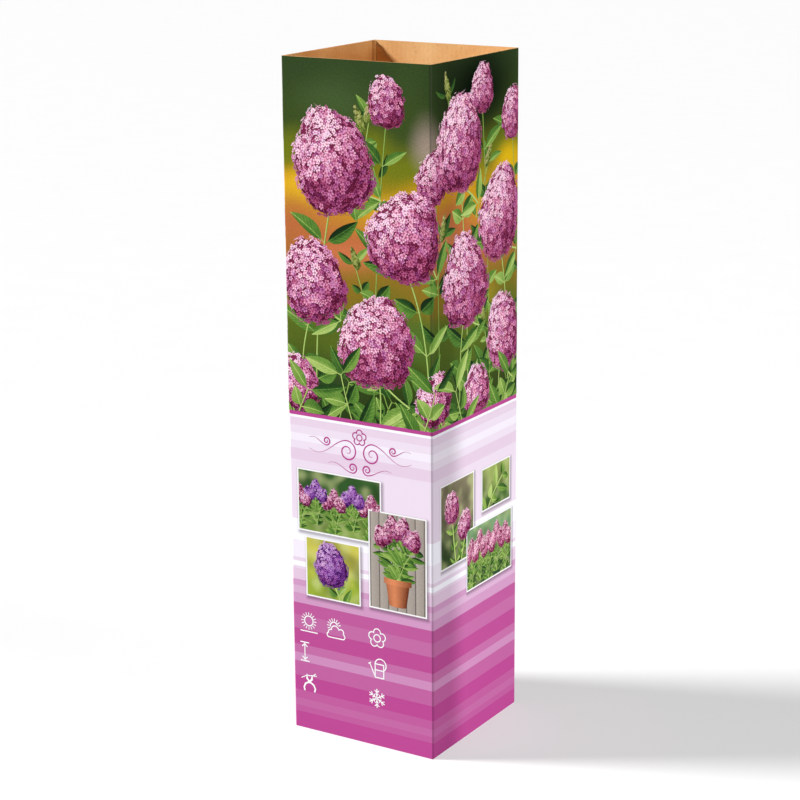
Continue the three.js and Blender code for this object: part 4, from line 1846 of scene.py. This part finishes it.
SIGN_LIFT = 0.03
SIGNS = [(full_sun, 11.3, 339.4), (half_shade, 30.8, 340.6), (blossom, 60.2, 340.9),
         (height, 8.0, 359.8), (watering, 60.8, 359.9), (pruning, 11.0, 379.4),
         (frost, 59.6, 379.4)]
MIDDLE = FACE / 2
FLOURISH = [  # off the middle, down, radius, length, and which way up
    (8.5, 228, 6.6, 27, 1), (5.0, 237.5, 3.2, 17, -1), (23.0, 223.5, 2.6, 12, -1),
]
MAGENTA_INK = printed_ink("magenta ink", (178, 60, 140))
drawn_signs = [stroke for sign, x, y in SIGNS for stroke in sign(x, y)]
drawn_curls = [scroll(MIDDLE + side * off, *places, side, flip)
               for off, *places, flip in FLOURISH for side in (-1, 1)]
drawn_curls += blossom(MIDDLE, 218.5, size=0.8)
signs = strokes("signs", drawn_signs, SIGN_LIFT, WHITE_INK)
signs += strokes("flourish", drawn_curls, SIGN_LIFT, MAGENTA_INK)
print(len(drawn_signs), "strokes in the signs")

# %% Folding the print round the carton
lay_print("picture_leaves", foliage, [LEAVES_INK])
lay_print("picture_petals", flowers, [PETALS_INK], by_colour=True)
lay_print("card", small_cards, [WHITE_INK, BACKDROP_INK, PLANK_INK, CLAY_INK])
lay_print("card_leaves", small_leaves, [LEAVES_INK])
lay_print("card_petals", small_flowers, [PETALS_INK], by_colour=True)
lay_print("signs", signs, [WHITE_INK, MAGENTA_INK])

# %% [markdown]
# ## Camera, light and floor
# The carton stands on a plain pale floor. One soft lamp high on the left in front throws the
# shadow that falls into the open top. A second lamp, low and wide on the right, keeps the right
# face clear, and a small spot lifts that face's foot. The floor glows a little from below, as a
# light table does, so the carton's shadow on it stays soft and pale; a stronger lamp from the
# right would do that too, but would wash out the shadow inside the carton. The camera's place is
# given from the front corner, in heights of the carton, so that it stays right at any size.

# %% The camera
CAMERA_FROM_CORNER = Vector((1.48688, -2.47441, 1.32622))  # in heights of the carton
CAMERA_TURN, CAMERA_DIP, CAMERA_ROLL = 31.897, 15.235, -0.4654  # degrees
FOCAL_LENGTH = 97.484  # of a 36 mm frame
camera = bpy.data.objects.new("camera", bpy.data.cameras.new("camera"))
bpy.context.scene.collection.objects.link(camera)
bpy.context.scene.camera = camera
front_corner = Vector((cad_box[1].x, cad_box[0].y, 0))
camera.location = front_corner + CAMERA_FROM_CORNER * HEIGHT * MM
turn = Matrix.Rotation(math.radians(CAMERA_TURN), 4, "Z")
tilt = Matrix.Rotation(math.radians(90 - CAMERA_DIP), 4, "X")
roll = Matrix.Rotation(math.radians(CAMERA_ROLL), 4, "Z")
camera.rotation_euler = (turn @ tilt @ roll).to_euler()
camera.data.lens = FOCAL_LENGTH
camera.data.sensor_width = 36.0
camera.data.clip_start = 0.05
print("camera", [round(x, 3) for x in camera.location])


# %% Lamps, surroundings and floor
def lamp(name, kind, place, aim, power, **settings):
    light = bpy.data.lights.new(name, kind)
    light.energy = power
    for setting, value in settings.items():
        setattr(light, setting, value)
    shown = bpy.data.objects.new(name, light)
    bpy.context.scene.collection.objects.link(shown)
    shown.location = place
    shown.rotation_euler = (Vector(aim) - Vector(place)).to_track_quat("-Z", "Y").to_euler()


RIM = Vector((0, 0, HEIGHT * MM))
KEY_FROM = Vector((-1.0, -0.5, 0.85))  # sets where the shadow of the rim falls inside
KEY_POWER, FILL_POWER, FOOT_POWER = 5.33, 31.5, 23
SKY_LIGHT = 0.05
FLOOR_GLOW = 0.54
lamp("key", "SUN", RIM + KEY_FROM, RIM, KEY_POWER, angle=math.radians(12))
lamp("fill", "AREA", (2.4, 0.1, 0.4), (0, 0, 0.25), FILL_POWER,
     shape="RECTANGLE", size=0.7, size_y=0.8)
lamp("foot", "SPOT", (1.3, 0.1, 0.35), (0.05, 0, 0.0), FOOT_POWER,
     spot_size=math.radians(17), spot_blend=1.0, shadow_soft_size=0.15)
world = bpy.data.worlds.new("studio")
bpy.context.scene.world = world
world.use_nodes = True
sky = Graph(world.node_tree)
# The surroundings look white to the camera and light the carton far less than that.
seen = sky.add("ShaderNodeLightPath").of("Is Camera Ray")
backdrop = world.node_tree.nodes["Background"].inputs
backdrop["Color"].default_value = (1, 1, 1, 1)
world.node_tree.links.new((seen * (1.0 - SKY_LIGHT) + SKY_LIGHT).socket, backdrop["Strength"])
bpy.context.scene.view_settings.view_transform = "Standard"

FLOOR = 6000  # from its middle to each edge
matt = Finish("pale floor", roughness=0.9)
speckle = matt.noise(matt.place(), 0.02, detail=2)
matt.wear(matt.ramp(speckle, [(0.3, ink(168, 168, 168)), (0.7, ink(170, 170, 170))]))
matt.shader.inputs["Emission Color"].default_value = (1, 1, 1, 1)
matt.shader.inputs["Emission Strength"].default_value = FLOOR_GLOW
corners = [(x, y, 0) for x, y in rectangle(-FLOOR, FLOOR, FLOOR, -FLOOR)]
floor = mesh_object("floor", corners, [(0, 1, 2, 3)], [matt.material])
